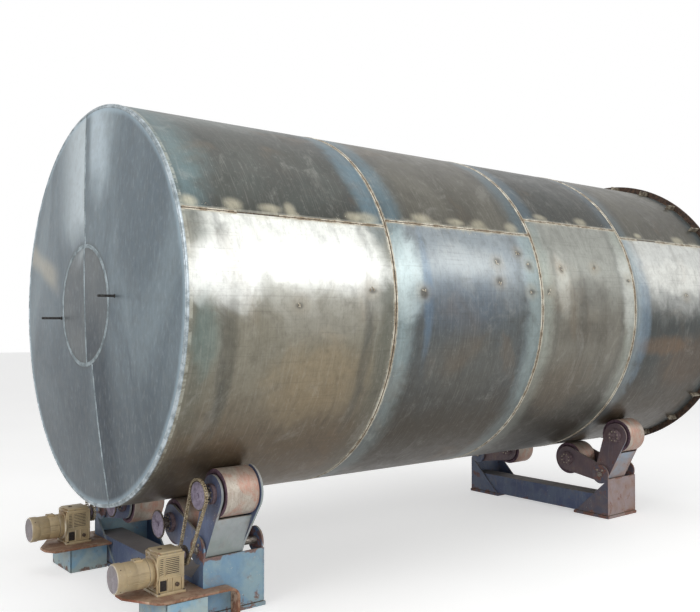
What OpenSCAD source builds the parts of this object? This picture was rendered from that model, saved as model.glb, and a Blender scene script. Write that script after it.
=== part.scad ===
// Horizontal pressure tank on two stands of self-aligning turning rolls.
// Frame: +X from the front end to the rear end, -Y is the near side, +Z up.
// The origin is on the floor, under the middle of the whole object. Millimetres.

/* [Tank shell] */
// Outside diameter of the shell
tank_d = 3200; // [2800:10:3600]
// Thickness of the shell plates
shell_t = 10; // [8:1:20]
// Length of the first, second and fourth courses
course_l = 1829; // [1500:1:2200]
// Length of the short third course
short_course_l = 1524; // [1200:1:2000]
// Width of the welded gap between two plates
weld_gap = 12; // [8:1:20]
// Height of a weld crown above the plate
weld_crown = 2.5; // [1:0.5:4]
// Angle of the upper plate of each course over the top
upper_span = 142; // [120:1:180]
// Height of the near seam of each course above the level of the axis, in degrees
seam_rise = [23.6, 25.6, 32.1, 28.7];

/* [Tank ends] */
// Gap left between pieces that are welded together
seat_gap = 0.05; // [0.02:0.01:0.2]
// Rise of the shallow dish of each end
end_rise = 82; // [60:1:160]
// Thickness of the end plates
end_t = 12; // [8:1:20]
// Radius of the middle disc of each end
disc_r = 475; // [350:5:600]
// Lean of the seam of the front end plates from the vertical, in degrees
end_seam_lean = 9.3; // [0:0.1:20]
// Distance of that seam from the middle of the end
end_seam_y = 90; // [0:5:150]
// Lean of the seam of the front disc from the vertical, in degrees
disc_seam_lean = 4.5; // [0:0.5:20]
// Distance of the seam of the disc from the middle of the end
disc_seam_y = 24; // [0:2:60]
// Diameter of the pegs on the front end
peg_d = 20; // [12:1:30]
// Lengths of the near and far pegs
peg_l = [130, 165];
// Distances of the near and far pegs from the middle of the end
peg_reach = [587, 525];
// Angles of the near and far pegs from straight below the middle
peg_angle = [264, 79];

/* [Rear ring] */
// Height of the rear ring above the shell
ring_h = 65; // [40:5:100]
// Thickness of the rear ring
ring_t = 16; // [10:1:25]
// Number of clips against the ring
clip_n = 24; // [12:1:36]
// Length of a clip along the shell
clip_l = 170; // [100:5:250]
// Height of a clip above the shell
clip_h = 52; // [30:2:60]
// Thickness of a clip
clip_t = 12; // [8:1:20]

/* [Rollers] */
// Diameter of the rollers
roller_d = 360; // [320:5:400]
// Length of the rollers
roller_l = 275; // [200:5:300]
// Diameter of the roller shafts
shaft_d = 70; // [50:2:80]
// Gap between the shell and the rollers
run_gap = 0.3; // [0.2:0.1:2]
// Angle of the outer rollers from straight below the axis
outer_angle = 38.5; // [34:0.5:42]
// Angle of the inner rollers from straight below the axis
inner_angle = 15; // [12:0.5:18]
// Clearance beside the roller ends
side_gap = 7; // [5:1:10]
// Running clearance round shafts and pins
pin_gap = 0.3; // [0.2:0.1:0.6]

/* [Stands] */
// Height of the rocker pins above the floor
pivot_h = 485.5; // [470:0.5:510]
// Distance of the front stand from the front end of the shell
front_stand_x = 430; // [420:5:700]
// Distance of the rear stand from the front end of the shell
rear_stand_x = 5510; // [5300:5:5900]
// Length of a bracket along the tank
bracket_l = 525; // [480:5:640]
// Distance of the bracket faces outwards from the rocker pins
face_out = 103; // [100:1:115]
// Depth of the top of the bracket faces below the rocker pins
face_drop = 45.5; // [30:0.5:60]
// Thickness of the bracket plates
bracket_t = 16; // [10:1:20]
// Thickness of the base plates
base_t = 30; // [20:2:40]
// Reach of the base plates past the bracket
foot_edge = 12; // [8:1:20]
// Width of the foot of a bracket side
foot_l = 430; // [380:10:460]
// Radius of the bracket lobes round the rocker pins
lobe_r = 105; // [90:5:120]
// Distance of the rocker pins from the tank shell
pivot_out = 460; // [440:5:490]
// Diameter of the rocker pins
rocker_pin_d = 60; // [40:2:80]
// Width of the base beams
beam_w = 240; // [180:10:280]
// Height of the base beams
beam_h = 220; // [180:10:240]
// Wall of the base beams
beam_t = 12; // [8:1:16]

/* [Rockers] */
// Thickness of the rocker plates
rocker_t = 18; // [12:1:24]
// Radius of the rocker heads round the roller shafts
head_r = 138; // [110:2:145]
// Radius of the rocker round its pin
hub_r = 92; // [80:1:92]
// Thickness of the cover and web plates of a rocker
cover_t = 12; // [8:1:16]
// Height of the cover along the outer arm
cover_l = 250; // [200:5:270]
// Diameter of the bearing housings
housing_d = 152; // [130:2:180]
// Thickness of the bearing housings
housing_t = 30; // [20:2:40]

/* [Chain drives] */
// Distance of the chain line from the near side of the bracket
chain_out = 88; // [70:2:120]
// Pitch radius of the sprockets on the outer rollers
big_pitch_r = 118; // [100:1:130]
// Pitch radius of the sprockets on the gearboxes
small_pitch_r = 74; // [60:1:80]
// Thickness of the sprockets
sprocket_t = 12; // [8:1:16]
// Height of the chain plates
chain_h = 18; // [14:1:22]
// Width of the chain
chain_w = 26; // [20:1:32]
// Clearance between the fixed chain loop and a sprocket rim
chain_gap = 0.5; // [0.4:0.1:2]
// Distance of the gearbox shafts inwards from the outer rollers
drive_in = 208; // [170:1:250]
// Height of the gearbox shafts
drive_z = 465; // [450:5:500]

/* [Gearmotors] */
// Length of the gearbox housing along the tank
gearbox_l = 203; // [160:1:220]
// Width of the gearbox housing
gearbox_w = 200; // [160:2:240]
// Diameter of the motor
motor_d = 214; // [180:2:240]
// Length of the motor
motor_l = 300; // [220:5:360]
// Height of the motor axis
motor_z = 382; // [370:2:400]
// Gap between the gearbox housing and its sprocket
drive_gap = 52; // [40:2:70]
// Diameter of the gearbox shaft
stub_d = 40; // [30:2:50]
// Depth of the gearbox shaft in the housing
stub_depth = 30; // [20:2:40]

/* [Motor shelves] */
// Height of the top of the shelves
shelf_z = 226; // [200:2:240]
// Thickness of the shelf plate
shelf_t = 20; // [12:1:24]
// Distance of the shelf edge outwards from the bracket face
shelf_out = 120; // [90:5:170]
// Width of the shelf beside the bracket
shelf_w = 500; // [450:10:520]
// Distance of the supports inwards from the edges of the shelf
support_in = 8; // [4:1:40]
// Length of the shelf in front of the bracket
shelf_tongue_l = 160; // [100:5:250]
// Radius of the bend at the end of the shelf
shelf_bend_r = 85; // [70:5:110]
// Reach of the shelf past the gearbox towards the front
shelf_front_l = 215; // [150:5:240]
// Thickness of the shelf support plates
support_t = 10; // [8:1:16]

/* [Hidden] */
$fn = 96;

tank_r = tank_d / 2;
course_lengths = [course_l, course_l, short_course_l, course_l];
function course_start(i) = i == 0 ? 0 : course_start(i - 1) + course_lengths[i - 1];
shell_l = course_start(4);
end_l = end_t + end_rise;
edge_r = tank_r - end_t;

// The dish of an end is part of a ball, and dish_h is its height over the shell's end
dish_r = (pow(edge_r, 2) + pow(end_rise, 2)) / (2 * end_rise);
function dish_h(r) = end_t + end_rise - dish_r + sqrt(pow(dish_r, 2) - pow(r, 2));
peg_tips = [for (i = [0, 1]) dish_h(peg_reach[i]) + peg_l[i]];
peg_tip = max(peg_tips);
end_top = dish_h(disc_seam_y - weld_gap / 2) + weld_crown;

// Everything is drawn with x from the front end of the shell, then moved to the middle
chain_x = front_stand_x - chain_out;
gearbox_x1 = chain_x - drive_gap - sprocket_t / 2;
gearbox_x0 = gearbox_x1 - gearbox_l;
motor_x0 = gearbox_x0 - motor_l;
front_x = min(-peg_tip, -end_top, motor_x0);
rear_x = shell_l + end_top;
middle_x = (front_x + rear_x) / 2;

roller_r = roller_d / 2;
roller_reach = tank_r + run_gap + roller_r;
mean_angle = (outer_angle + inner_angle) / 2;
pivot_reach = tank_r + pivot_out;
axis_z = pivot_h + pivot_reach * cos(mean_angle);
function under(reach, angle) = [-reach * sin(angle), axis_z - reach * cos(angle)];
outer_c = under(roller_reach, outer_angle);
inner_c = under(roller_reach, inner_angle);
pivot_c = under(pivot_reach, mean_angle);
bracket_y = face_out - pivot_c[0];
bracket_h = pivot_h - face_drop;
drive_y = -outer_c[0] - drive_in;
shelf_y = bracket_y + shelf_out;

// Places along a stand, from the front side of its bracket
plate_x0 = bracket_t + 9;
roller_x = plate_x0 + rocker_t + side_gap;
plate_x1 = roller_x + roller_l + side_gap;

function way(angle) = [cos(angle), sin(angle)];
function heading(a, b) = atan2(b[1] - a[1], b[0] - a[0]);

module place() translate([-middle_x, 0, 0]) children();
module on_axis(x) translate([x - middle_x, 0, axis_z]) rotate([0, 90, 0]) children();
module stand_at(x) translate([x - middle_x, 0, 0]) children();
module both_sides() {
    children();
    mirror([0, 1, 0]) children();
}
// A profile drawn in Y and Z, drawn out along X from x
module slab(x, t) translate([x, 0, 0]) rotate([90, 0, 90]) linear_extrude(t) children();
module rod(x, l, c, d) slab(x, l) translate(c) circle(d = d);

// Two discs with a straight band between them, whose corners lie just inside the discs
link_sink = 0.05;
module link(a, ra, b, rb) {
    turn = heading(a, b);
    lean = acos((ra - rb) / norm(b - a));
    translate(a) circle(ra);
    translate(b) circle(rb);
    polygon([
        a + (ra - link_sink) * way(turn + lean), b + (rb - link_sink) * way(turn + lean),
        b + (rb - link_sink) * way(turn - lean), a + (ra - link_sink) * way(turn - lean)
    ]);
}

// Tank shell
function near_seam(i) = 270 - seam_rise[i];
gap_angle = weld_gap / tank_r * 180 / PI;
weld_half = weld_gap / 2 - seat_gap;

module shell_arc(i, start, span) {
    x0 = course_start(i) + (i == 0 ? 0 : weld_gap / 2);
    x1 = course_start(i + 1) - (i == 3 ? 0 : weld_gap / 2);
    on_axis(x0) rotate([0, 0, start]) rotate_extrude(angle = span, $fn = 180)
        translate([tank_r - shell_t, 0]) square([shell_t, x1 - x0]);
}
module shell_course(i) {
    half_gap = gap_angle / 2;
    shell_arc(i, near_seam(i) - upper_span + half_gap, upper_span - gap_angle);
    shell_arc(i, near_seam(i) + half_gap, 360 - upper_span - gap_angle);
}
module shell_course_1() color([0.42, 0.46, 0.46]) shell_course(0);
module shell_course_2() color([0.40, 0.42, 0.41]) shell_course(1);
module shell_course_3() color([0.38, 0.38, 0.36]) shell_course(2);
module shell_course_4() color([0.41, 0.43, 0.42]) shell_course(3);

module girth_welds() color([0.70, 0.66, 0.55]) for (i = [1:3])
    on_axis(course_start(i)) rotate_extrude($fn = 180) polygon([
        [tank_r - shell_t, -weld_half], [tank_r, -weld_half],
        [tank_r + weld_crown, -weld_gap / 3], [tank_r + weld_crown, weld_gap / 3],
        [tank_r, weld_half], [tank_r - shell_t, weld_half]
    ]);
// The seam welds are ground flush, so that they run over the rollers
module seam_welds() color([0.72, 0.66, 0.52]) for (i = [0:3]) {
    weld_angle = 2 * weld_half / tank_r * 180 / PI;
    shell_arc(i, near_seam(i) - weld_angle / 2, weld_angle);
    shell_arc(i, near_seam(i) - upper_span - weld_angle / 2, weld_angle);
}

// Tank ends, with h counted outwards from the end of the shell
module front_end() on_axis(0) mirror([0, 0, 1]) children();
module rear_end() on_axis(shell_l) children();
// Part of the dish between two radii, drawn as an arc of short lines
dish_steps = 12;
module dish_ring(r0, r1, low = -end_t, high = 0) {
    radii = [for (i = [0:dish_steps]) r0 + (r1 - r0) * i / dish_steps];
    rotate_extrude($fn = 180) polygon(concat(
        [for (r = radii) [r, dish_h(r) + low]],
        [for (i = [dish_steps:-1:0]) [radii[i], dish_h(radii[i]) + high]]
    ));
}
plate_r = disc_r + weld_gap / 2;
disc_edge = disc_r - weld_gap / 2;
// A straight seam across the end, out from the middle and leaning from the vertical
module seam_band(lean, out, width) rotate([0, 0, lean]) translate([-tank_r, -out - width / 2, -1])
    cube([2 * tank_r, width, end_l + weld_crown + 2]);
module end_plates(lean, out) difference() {
    dish_ring(plate_r, edge_r);
    seam_band(lean, out, weld_gap);
}
module end_disc(lean, out) difference() {
    dish_ring(0, disc_edge);
    seam_band(lean, out, weld_gap);
}
module end_core(r) translate([0, 0, -1]) cylinder(h = end_l + weld_crown + 2, r = r, $fn = 180);
module end_welds(lean, out, disc_lean, disc_out) intersection() {
    dish_ring(0, edge_r, -end_t, weld_crown);
    union() {
        difference() {
            end_core(plate_r - seat_gap);
            end_core(disc_edge + seat_gap);
        }
        difference() {
            seam_band(lean, out, 2 * weld_half);
            end_core(disc_r);
        }
        intersection() {
            seam_band(disc_lean, disc_out, 2 * weld_half);
            end_core(disc_r);
        }
    }
}
module rim_weld() rotate_extrude($fn = 180) polygon([
    [edge_r + seat_gap, seat_gap], [tank_r, seat_gap], [tank_r + weld_crown, weld_crown],
    [tank_r + weld_crown, end_t / 2], [tank_r - end_t / 3, end_t], [edge_r + seat_gap, end_t]
]);
module front_end_plates() color([0.52, 0.58, 0.61]) front_end() end_plates(-end_seam_lean, end_seam_y);
module front_end_disc() color([0.50, 0.56, 0.59]) front_end() end_disc(-disc_seam_lean, disc_seam_y);
module front_end_welds() color([0.66, 0.70, 0.70]) front_end()
    end_welds(-end_seam_lean, end_seam_y, -disc_seam_lean, disc_seam_y);
module rear_end_plates() color([0.50, 0.55, 0.57]) rear_end() end_plates(0, end_seam_y);
module rear_end_disc() color([0.49, 0.54, 0.56]) rear_end() end_disc(0, disc_seam_y);
module rear_end_welds() color([0.66, 0.70, 0.70]) rear_end()
    end_welds(0, end_seam_y, 0, disc_seam_y);
module rim_welds() color([0.68, 0.72, 0.74]) {
    front_end() rim_weld();
    rear_end() rim_weld();
}
// A peg stands on the dish, so what lies under the outer face of the plates is cut away
module front_end_pegs() color([0.24, 0.24, 0.25]) front_end() for (i = [0, 1]) difference() {
    rotate([0, 0, peg_angle[i]]) translate([peg_reach[i], 0, 0])
        cylinder(h = peg_tips[i], d = peg_d, $fn = 32);
    dish_ring(plate_r, edge_r, -2 * end_l, seat_gap);
}

// Rear ring and its clips
module rear_ring() color([0.42, 0.30, 0.22]) on_axis(shell_l - ring_t) rotate_extrude($fn = 180)
    translate([tank_r + seat_gap, 0]) square([ring_h, ring_t]);
module rear_clips() color([0.40, 0.36, 0.32]) on_axis(shell_l - ring_t - clip_l) difference() {
    for (i = [0:clip_n - 1]) rotate([0, 0, (i + 0.5) * 360 / clip_n])
        translate([tank_r - clip_t, -clip_t / 2, 0]) cube([clip_t + clip_h, clip_t, clip_l]);
    translate([0, 0, -1]) cylinder(h = clip_l + 2, r = tank_r + seat_gap, $fn = 180);
}

// Base beams, open box sections
module beam() difference() {
    half_l = bracket_y - bracket_t - seat_gap;
    translate([bracket_t, -half_l, base_t]) cube([beam_w, 2 * half_l, beam_h]);
    translate([bracket_t + beam_t, -bracket_y, base_t + beam_t])
        cube([beam_w - 2 * beam_t, 2 * bracket_y, beam_h - 2 * beam_t]);
}
module drive_beam() color([0.29, 0.36, 0.46]) stand_at(front_stand_x) beam();
module idler_beam() color([0.27, 0.31, 0.38]) stand_at(rear_stand_x) beam();

// Brackets: a face plate and two lobed sides on a base plate
function touch(p, c, r, side) = c + r * way(heading(c, p) + side * acos(r / norm(p - c)));
module side_profile() {
    corner = [-bracket_y + bracket_t, bracket_h];
    foot = [-bracket_y + foot_l, base_t];
    difference() {
        union() {
            translate(pivot_c) circle(lobe_r);
            polygon([
                [corner[0], base_t], corner, pivot_c,
                touch(foot, pivot_c, lobe_r, -1), foot
            ]);
        }
        translate(pivot_c) circle(d = rocker_pin_d + 2 * pin_gap);
        translate([-bracket_y - lobe_r, base_t]) square([lobe_r + bracket_t, bracket_h - base_t]);
    }
}
module bracket() {
    translate([0, -bracket_y, base_t]) cube([bracket_l, bracket_t, bracket_h - base_t]);
    for (x = [0, bracket_l - bracket_t]) slab(x, bracket_t) side_profile();
    translate([-foot_edge, -bracket_y - foot_edge, 0])
        cube([bracket_l + 2 * foot_edge, foot_l + 3 * foot_edge, base_t]);
}
module drive_bracket_near() color([0.42, 0.57, 0.70]) stand_at(front_stand_x) bracket();
module drive_bracket_far() color([0.42, 0.57, 0.70]) mirror([0, 1, 0]) stand_at(front_stand_x) bracket();
module idler_bracket_near() color([0.56, 0.46, 0.44]) stand_at(rear_stand_x) bracket();
module idler_bracket_far() color([0.30, 0.35, 0.45]) mirror([0, 1, 0]) stand_at(rear_stand_x) bracket();

// Rockers: two plates, a hub round the pin, a cover below the outer roller and a web
module rocker_profile() difference() {
    union() {
        link(pivot_c, hub_r, outer_c, head_r);
        link(pivot_c, hub_r, inner_c, head_r);
    }
    for (c = [outer_c, inner_c]) translate(c) circle(d = shaft_d + 2 * pin_gap);
    translate(pivot_c) circle(d = rocker_pin_d + 2 * pin_gap);
}
// A strip just inside the edge of an arm, s from the pin outwards
strip_in = 1;
module arm_strip(c, rc, side, s0, s1) {
    turn = heading(pivot_c, c);
    lean = acos((hub_r - rc) / norm(c - pivot_c));
    edge = turn + side * lean;
    translate(pivot_c + (hub_r - cover_t - strip_in) * way(edge)) rotate(edge - side * 90)
        translate([s0, side > 0 ? 0 : -cover_t]) square([s1 - s0, cover_t]);
}
module rocker() {
    for (x = [plate_x0, plate_x1]) slab(x, rocker_t) rocker_profile();
    inside = plate_x1 - plate_x0 - rocker_t;
    difference() {
        slab(plate_x0 + rocker_t, inside) {
            translate(pivot_c) circle(rocker_pin_d);
            arm_strip(outer_c, head_r, 1, 0, cover_l);
            arm_strip(inner_c, head_r, -1, 0, cover_l * 0.8);
        }
        rod(0, bracket_l, pivot_c, rocker_pin_d + 2 * pin_gap);
    }
}
module drive_rocker_near() color([0.36, 0.44, 0.58]) stand_at(front_stand_x) rocker();
module drive_rocker_far() color([0.36, 0.44, 0.58]) mirror([0, 1, 0]) stand_at(front_stand_x) rocker();
module idler_rocker_near() color([0.38, 0.30, 0.31]) stand_at(rear_stand_x) rocker();
module idler_rocker_far() color([0.38, 0.30, 0.31]) mirror([0, 1, 0]) stand_at(rear_stand_x) rocker();

module rocker_pins() color([0.35, 0.34, 0.34]) for (x = [front_stand_x, rear_stand_x])
    stand_at(x) both_sides() {
        rod(-10, bracket_l + 20, pivot_c, rocker_pin_d);
    }

// Bearing housings on the outer faces of the rocker plates
module housing(x, c, through) difference() {
    rod(x, housing_t, c, housing_d);
    rod(x + (through ? -1 : 8), housing_t + 2 - (through ? 0 : 8), c, shaft_d + 2 * pin_gap);
}
module bearing_housings() color([0.34, 0.31, 0.33])
    for (stand = [0, 1]) stand_at(stand == 0 ? front_stand_x : rear_stand_x) both_sides()
        for (c = [outer_c, inner_c]) {
            housing(plate_x0 - housing_t, c, stand == 0);
            translate([2 * (plate_x1 + rocker_t) + housing_t, 0, 0]) mirror([1, 0, 0])
                housing(plate_x1 + rocker_t, c, false);
        }

// Rollers with their shafts, and on the drive stand a sprocket or a disc
shaft_end = plate_x1 + rocker_t + housing_t - 8 - side_gap;
module roller(c, driven) {
    shaft_start = driven ? -chain_out - sprocket_t / 2 - 8 : plate_x0 - housing_t + 8 + side_gap;
    rod(shaft_start, shaft_end - shaft_start, c, shaft_d);
    rod(roller_x, roller_l, c, roller_d);
    if (driven) {
        rod(-chain_out - sprocket_t / 2, sprocket_t, c, 2 * (big_pitch_r - chain_h / 2 - chain_gap));
        rod(-chain_out + sprocket_t / 2, sprocket_t, c, shaft_d + 40);
    }
}
module drive_roller(c) color([0.70, 0.52, 0.46]) stand_at(front_stand_x) roller(c, true);
module idler_roller(c) color([0.66, 0.50, 0.44]) stand_at(rear_stand_x) roller(c, false);
module drive_roller_near_outer() drive_roller(outer_c);
module drive_roller_near_inner() drive_roller(inner_c);
module drive_roller_far_inner() mirror([0, 1, 0]) drive_roller(inner_c);
module drive_roller_far_outer() mirror([0, 1, 0]) drive_roller(outer_c);
module idler_roller_near_outer() idler_roller(outer_c);
module idler_roller_near_inner() idler_roller(inner_c);
module idler_roller_far_inner() mirror([0, 1, 0]) idler_roller(inner_c);
module idler_roller_far_outer() mirror([0, 1, 0]) idler_roller(outer_c);

// Chain drives
drive_c = [-drive_y, drive_z];
// The outline of a chain, r further out than its pitch line, in straight facets
function arc_points(c, r, start, span, n = 40) =
    [for (i = [0:n]) c + r * way(start + span * i / n)];
function chain_points(big_c, small_c, r) = let (
    turn = heading(big_c, small_c),
    lean = acos((big_pitch_r - small_pitch_r) / norm(small_c - big_c))
) concat(
    arc_points(big_c, big_pitch_r + r, turn + lean, 360 - 2 * lean),
    arc_points(small_c, small_pitch_r + r, turn - lean, 2 * lean)
);
// The chain of one side, which is -1 near and 1 far
module chain(side) color([0.55, 0.47, 0.30]) stand_at(front_stand_x) {
    big_c = [-side * outer_c[0], outer_c[1]];
    small_c = [-side * drive_c[0], drive_c[1]];
    slab(-chain_out - chain_w / 2, chain_w) difference() {
        polygon(chain_points(big_c, small_c, chain_h / 2));
        polygon(chain_points(big_c, small_c, -chain_h / 2));
    }
}
module chain_near() chain(-1);
module chain_far() chain(1);

module gearbox_sprocket() color([0.36, 0.34, 0.36]) place() {
    rod(chain_x - sprocket_t / 2, sprocket_t, drive_c, 2 * (small_pitch_r - chain_h / 2 - chain_gap));
    rod(gearbox_x1 - stub_depth + side_gap, chain_x - gearbox_x1 + stub_depth - side_gap, drive_c, stub_d);
}
module gearbox_sprocket_near() gearbox_sprocket();
module gearbox_sprocket_far() mirror([0, 1, 0]) gearbox_sprocket();

// Gearmotors
gearbox_top = drive_z + gearbox_w / 2 - 5;
module gearbox() {
    foot_w = gearbox_w + 30;
    translate([gearbox_x0, -drive_y - gearbox_w / 2, shelf_z + 20])
        cube([gearbox_l, gearbox_w, gearbox_top - shelf_z - 20]);
    translate([gearbox_x0 - 12, -drive_y - foot_w / 2, shelf_z]) cube([gearbox_l + 24, foot_w, 20]);
    rod(gearbox_x0 - 18, 18, [-drive_y, motor_z], motor_d + 22);
}
module gearbox_unit() difference() {
    union() {
        gearbox();
        rod(gearbox_x1, 12, drive_c, stub_d * 3);
    }
    rod(gearbox_x1 - stub_depth, stub_depth * 2, drive_c, stub_d + 2 * pin_gap);
}
module motor() {
    c = [-drive_y, motor_z];
    rod(motor_x0 + 45, motor_l - 63, c, motor_d - 8);
    rod(motor_x0, 45, c, motor_d);
    translate([motor_x0 + 120, -drive_y - 45, motor_z + motor_d / 2 - 20]) cube([90, 90, 45]);
}
module gearbox_near() color([0.68, 0.60, 0.46]) place() gearbox_unit();
module gearbox_far() color([0.60, 0.54, 0.46]) mirror([0, 1, 0]) place() gearbox_unit();
module motor_near() color([0.66, 0.58, 0.44]) place() motor();
module motor_far() color([0.58, 0.53, 0.46]) mirror([0, 1, 0]) place() motor();

// Motor shelves: a plate with a tongue that bends down in front of the bracket
module shelf() {
    x0 = gearbox_x0 - shelf_front_l;
    x1 = front_stand_x;
    base_x = x1 - 2 * foot_edge;
    front_x = x0 + shelf_w * 0.4 + support_t;
    tongue = bracket_y + foot_edge + 1;
    bend_x = front_stand_x + shelf_tongue_l;
    translate([0, 0, shelf_z - shelf_t]) linear_extrude(shelf_t) polygon([
        [x0, shelf_w * 0.8 - shelf_y], [x0, shelf_w * 0.58 - shelf_y],
        [x0 + shelf_w * 0.3, shelf_w * 0.06 - shelf_y], [front_x, -shelf_y],
        [x1, -shelf_y], [x1, shelf_w - shelf_y], [x0 + shelf_w * 0.12, shelf_w - shelf_y]
    ]);
    translate([0, -tongue, 0]) rotate([90, 0, 0]) linear_extrude(shelf_y - tongue) {
        translate([x1 - 1, shelf_z - shelf_t]) square([bend_x - x1 + 1, shelf_t]);
        translate([bend_x + shelf_bend_r - shelf_t, 0]) square([shelf_t, shelf_z - shelf_bend_r]);
        intersection() {
            translate([bend_x, shelf_z - shelf_bend_r]) difference() {
                circle(shelf_bend_r);
                circle(shelf_bend_r - shelf_t);
            }
            translate([bend_x, shelf_z - shelf_bend_r]) square(shelf_bend_r);
        }
    }
    support_w = shelf_w - 7 * support_in;
    for (y = [0, support_w - support_t]) translate([front_x, support_in - shelf_y + y, 0])
        cube([base_x - front_x, support_t, shelf_z - shelf_t]);
    translate([front_x, support_in - shelf_y, 0]) cube([support_t, support_w, shelf_z - shelf_t]);
}
module motor_shelves() color([0.50, 0.36, 0.28]) place() both_sides() shelf();

shell_course_1();
shell_course_2();
shell_course_3();
shell_course_4();
girth_welds();
seam_welds();
rim_welds();
front_end_plates();
front_end_disc();
front_end_welds();
front_end_pegs();
rear_end_plates();
rear_end_disc();
rear_end_welds();
rear_ring();
rear_clips();
drive_beam();
idler_beam();
drive_bracket_near();
drive_bracket_far();
idler_bracket_near();
idler_bracket_far();
drive_rocker_near();
drive_rocker_far();
idler_rocker_near();
idler_rocker_far();
rocker_pins();
bearing_housings();
drive_roller_near_outer();
drive_roller_near_inner();
drive_roller_far_inner();
drive_roller_far_outer();
idler_roller_near_outer();
idler_roller_near_inner();
idler_roller_far_inner();
idler_roller_far_outer();
chain_near();
chain_far();
gearbox_near();
gearbox_far();
motor_near();
motor_far();
gearbox_sprocket_near();
gearbox_sprocket_far();
motor_shelves();
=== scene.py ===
"""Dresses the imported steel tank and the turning-roll stands that carry it.

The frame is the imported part: X runs along the tank from its front end, -Y is the near side,
Z is up, and every size here is in metres.
"""
import logging
import math
import random
from collections.abc import Callable, Iterable, Sequence
from dataclasses import dataclass, field, replace
from enum import Enum
from functools import cache, cached_property
from itertools import product

import bmesh
import bpy
from mathutils import Matrix, Vector

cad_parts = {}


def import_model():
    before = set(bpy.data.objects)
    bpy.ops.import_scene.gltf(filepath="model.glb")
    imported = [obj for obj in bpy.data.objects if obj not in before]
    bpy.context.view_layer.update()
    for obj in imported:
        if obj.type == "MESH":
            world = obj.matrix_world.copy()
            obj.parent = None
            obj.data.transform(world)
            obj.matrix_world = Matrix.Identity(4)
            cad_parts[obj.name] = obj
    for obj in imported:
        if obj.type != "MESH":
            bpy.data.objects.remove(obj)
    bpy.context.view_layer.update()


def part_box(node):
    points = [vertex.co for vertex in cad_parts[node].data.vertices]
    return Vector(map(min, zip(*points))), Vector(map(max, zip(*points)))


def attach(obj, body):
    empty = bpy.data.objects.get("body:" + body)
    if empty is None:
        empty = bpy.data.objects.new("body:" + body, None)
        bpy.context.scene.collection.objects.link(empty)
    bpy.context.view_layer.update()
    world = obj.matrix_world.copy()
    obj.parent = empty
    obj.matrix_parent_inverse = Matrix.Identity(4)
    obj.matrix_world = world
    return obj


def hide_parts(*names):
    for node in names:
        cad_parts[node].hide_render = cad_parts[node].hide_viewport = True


LOG = logging.getLogger("tank")
Pair = tuple[float, float]
Point = tuple[float, float, float]
Spot = tuple[Point, Point]  # a place and the way out of the surface there
Socket = bpy.types.NodeSocket
Material = bpy.types.Material
Mesh = bpy.types.Mesh
Piece = bpy.types.Object
Feeds = dict[int | str, object]
ROLLED = ((0.44, 0.8), (5.52, 5.88))  # stretches of the shell that run over the rollers


def tone(code: str) -> Point:
    """Turns a colour as seen on screen, in six hex digits, into the numbers that shaders take."""
    seen = [int(code[i:i + 2], 16) for i in (0, 2, 4)]
    return tuple(c / 255 / 12.92 if c <= 10 else ((c / 255 + 0.055) / 1.055) ** 2.4
                 for c in seen)


class Side(Enum):
    """The side of the tank on which a stand's half lies, with its sign along Y."""

    NEAR = 1
    FAR = -1

    @property
    def word(self) -> str:
        """The word that nodes use for this side."""
        return self.name.lower()

    def at(self, x: float, y: float, z: float) -> Point:
        """Gives a place on this side, from the same place on the near side."""
        return x, self.value * y, z


class Value:
    """An output in a node tree, with which sums are written as usual."""

    def __init__(self, tree: "Tree", socket: Socket) -> None:
        """Keeps the socket and its tree."""
        self.tree, self.socket = tree, socket

    def __add__(self, other: object) -> "Value":
        """Adds."""
        return self.tree.math("ADD", self, other)

    def __sub__(self, other: object) -> "Value":
        """Subtracts."""
        return self.tree.math("SUBTRACT", self, other)

    def __rsub__(self, other: float) -> "Value":
        """Subtracts from a number."""
        return self.tree.math("SUBTRACT", other, self)

    def __mul__(self, other: object) -> "Value":
        """Multiplies."""
        return self.tree.math("MULTIPLY", self, other)

    def __truediv__(self, other: object) -> "Value":
        """Divides."""
        return self.tree.math("DIVIDE", self, other)

    def __abs__(self) -> "Value":
        """Drops the sign."""
        return self.tree.math("ABSOLUTE", self)


class Tree:
    """A node tree, built by short calls."""

    def __init__(self, tree: bpy.types.NodeTree) -> None:
        """Takes over an empty tree."""
        self.tree = tree

    def node(self, kind: str, inputs: Feeds | None = None,
             **settings: object) -> bpy.types.Node:
        """Adds a node.

        Args:
            kind: Type of the node.
            inputs: What its inputs get, by number or name.
            settings: Its properties.

        Returns:
            The new node.
        """
        node = self.tree.nodes.new(kind)
        for key, value in settings.items():
            setattr(node, key, value)
        for key, value in (inputs or {}).items():
            self.feed(node.inputs[key], value)
        return node

    def get(self, kind: str, inputs: Feeds | None = None,
            output: int | str = 0, **settings: object) -> Value:
        """Adds a node, as above, and gives one of its outputs."""
        return Value(self, self.node(kind, inputs, **settings).outputs[output])

    def feed(self, target: Socket, value: object) -> None:
        """Gives an input a number, a colour or another node's output.

        Args:
            target: The input.
            value: What it gets.
        """
        if isinstance(value, Value):
            self.tree.links.new(value.socket, target)
            return
        if target.type == "RGBA":
            value = (*(tone(value) if isinstance(value, str) else value), 1.0)
        target.default_value = value

    def math(self, operation: str, a: object, b: object = 0.0) -> Value:
        """Adds a sum of two numbers."""
        return self.get("ShaderNodeMath", {0: a, 1: b}, operation=operation)

    def seen(self) -> Value:
        """Tells rays of the camera, and those off or through a surface, from rays of light.

        Returns:
            The share, 0 or 1.
        """
        path = self.node("ShaderNodeLightPath").outputs
        camera, glossy, clear = (Value(self, path[f"Is {word} Ray"])
                                 for word in ("Camera", "Glossy", "Transmission"))
        return self.math("MAXIMUM", camera, self.math("MAXIMUM", glossy, clear))


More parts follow.
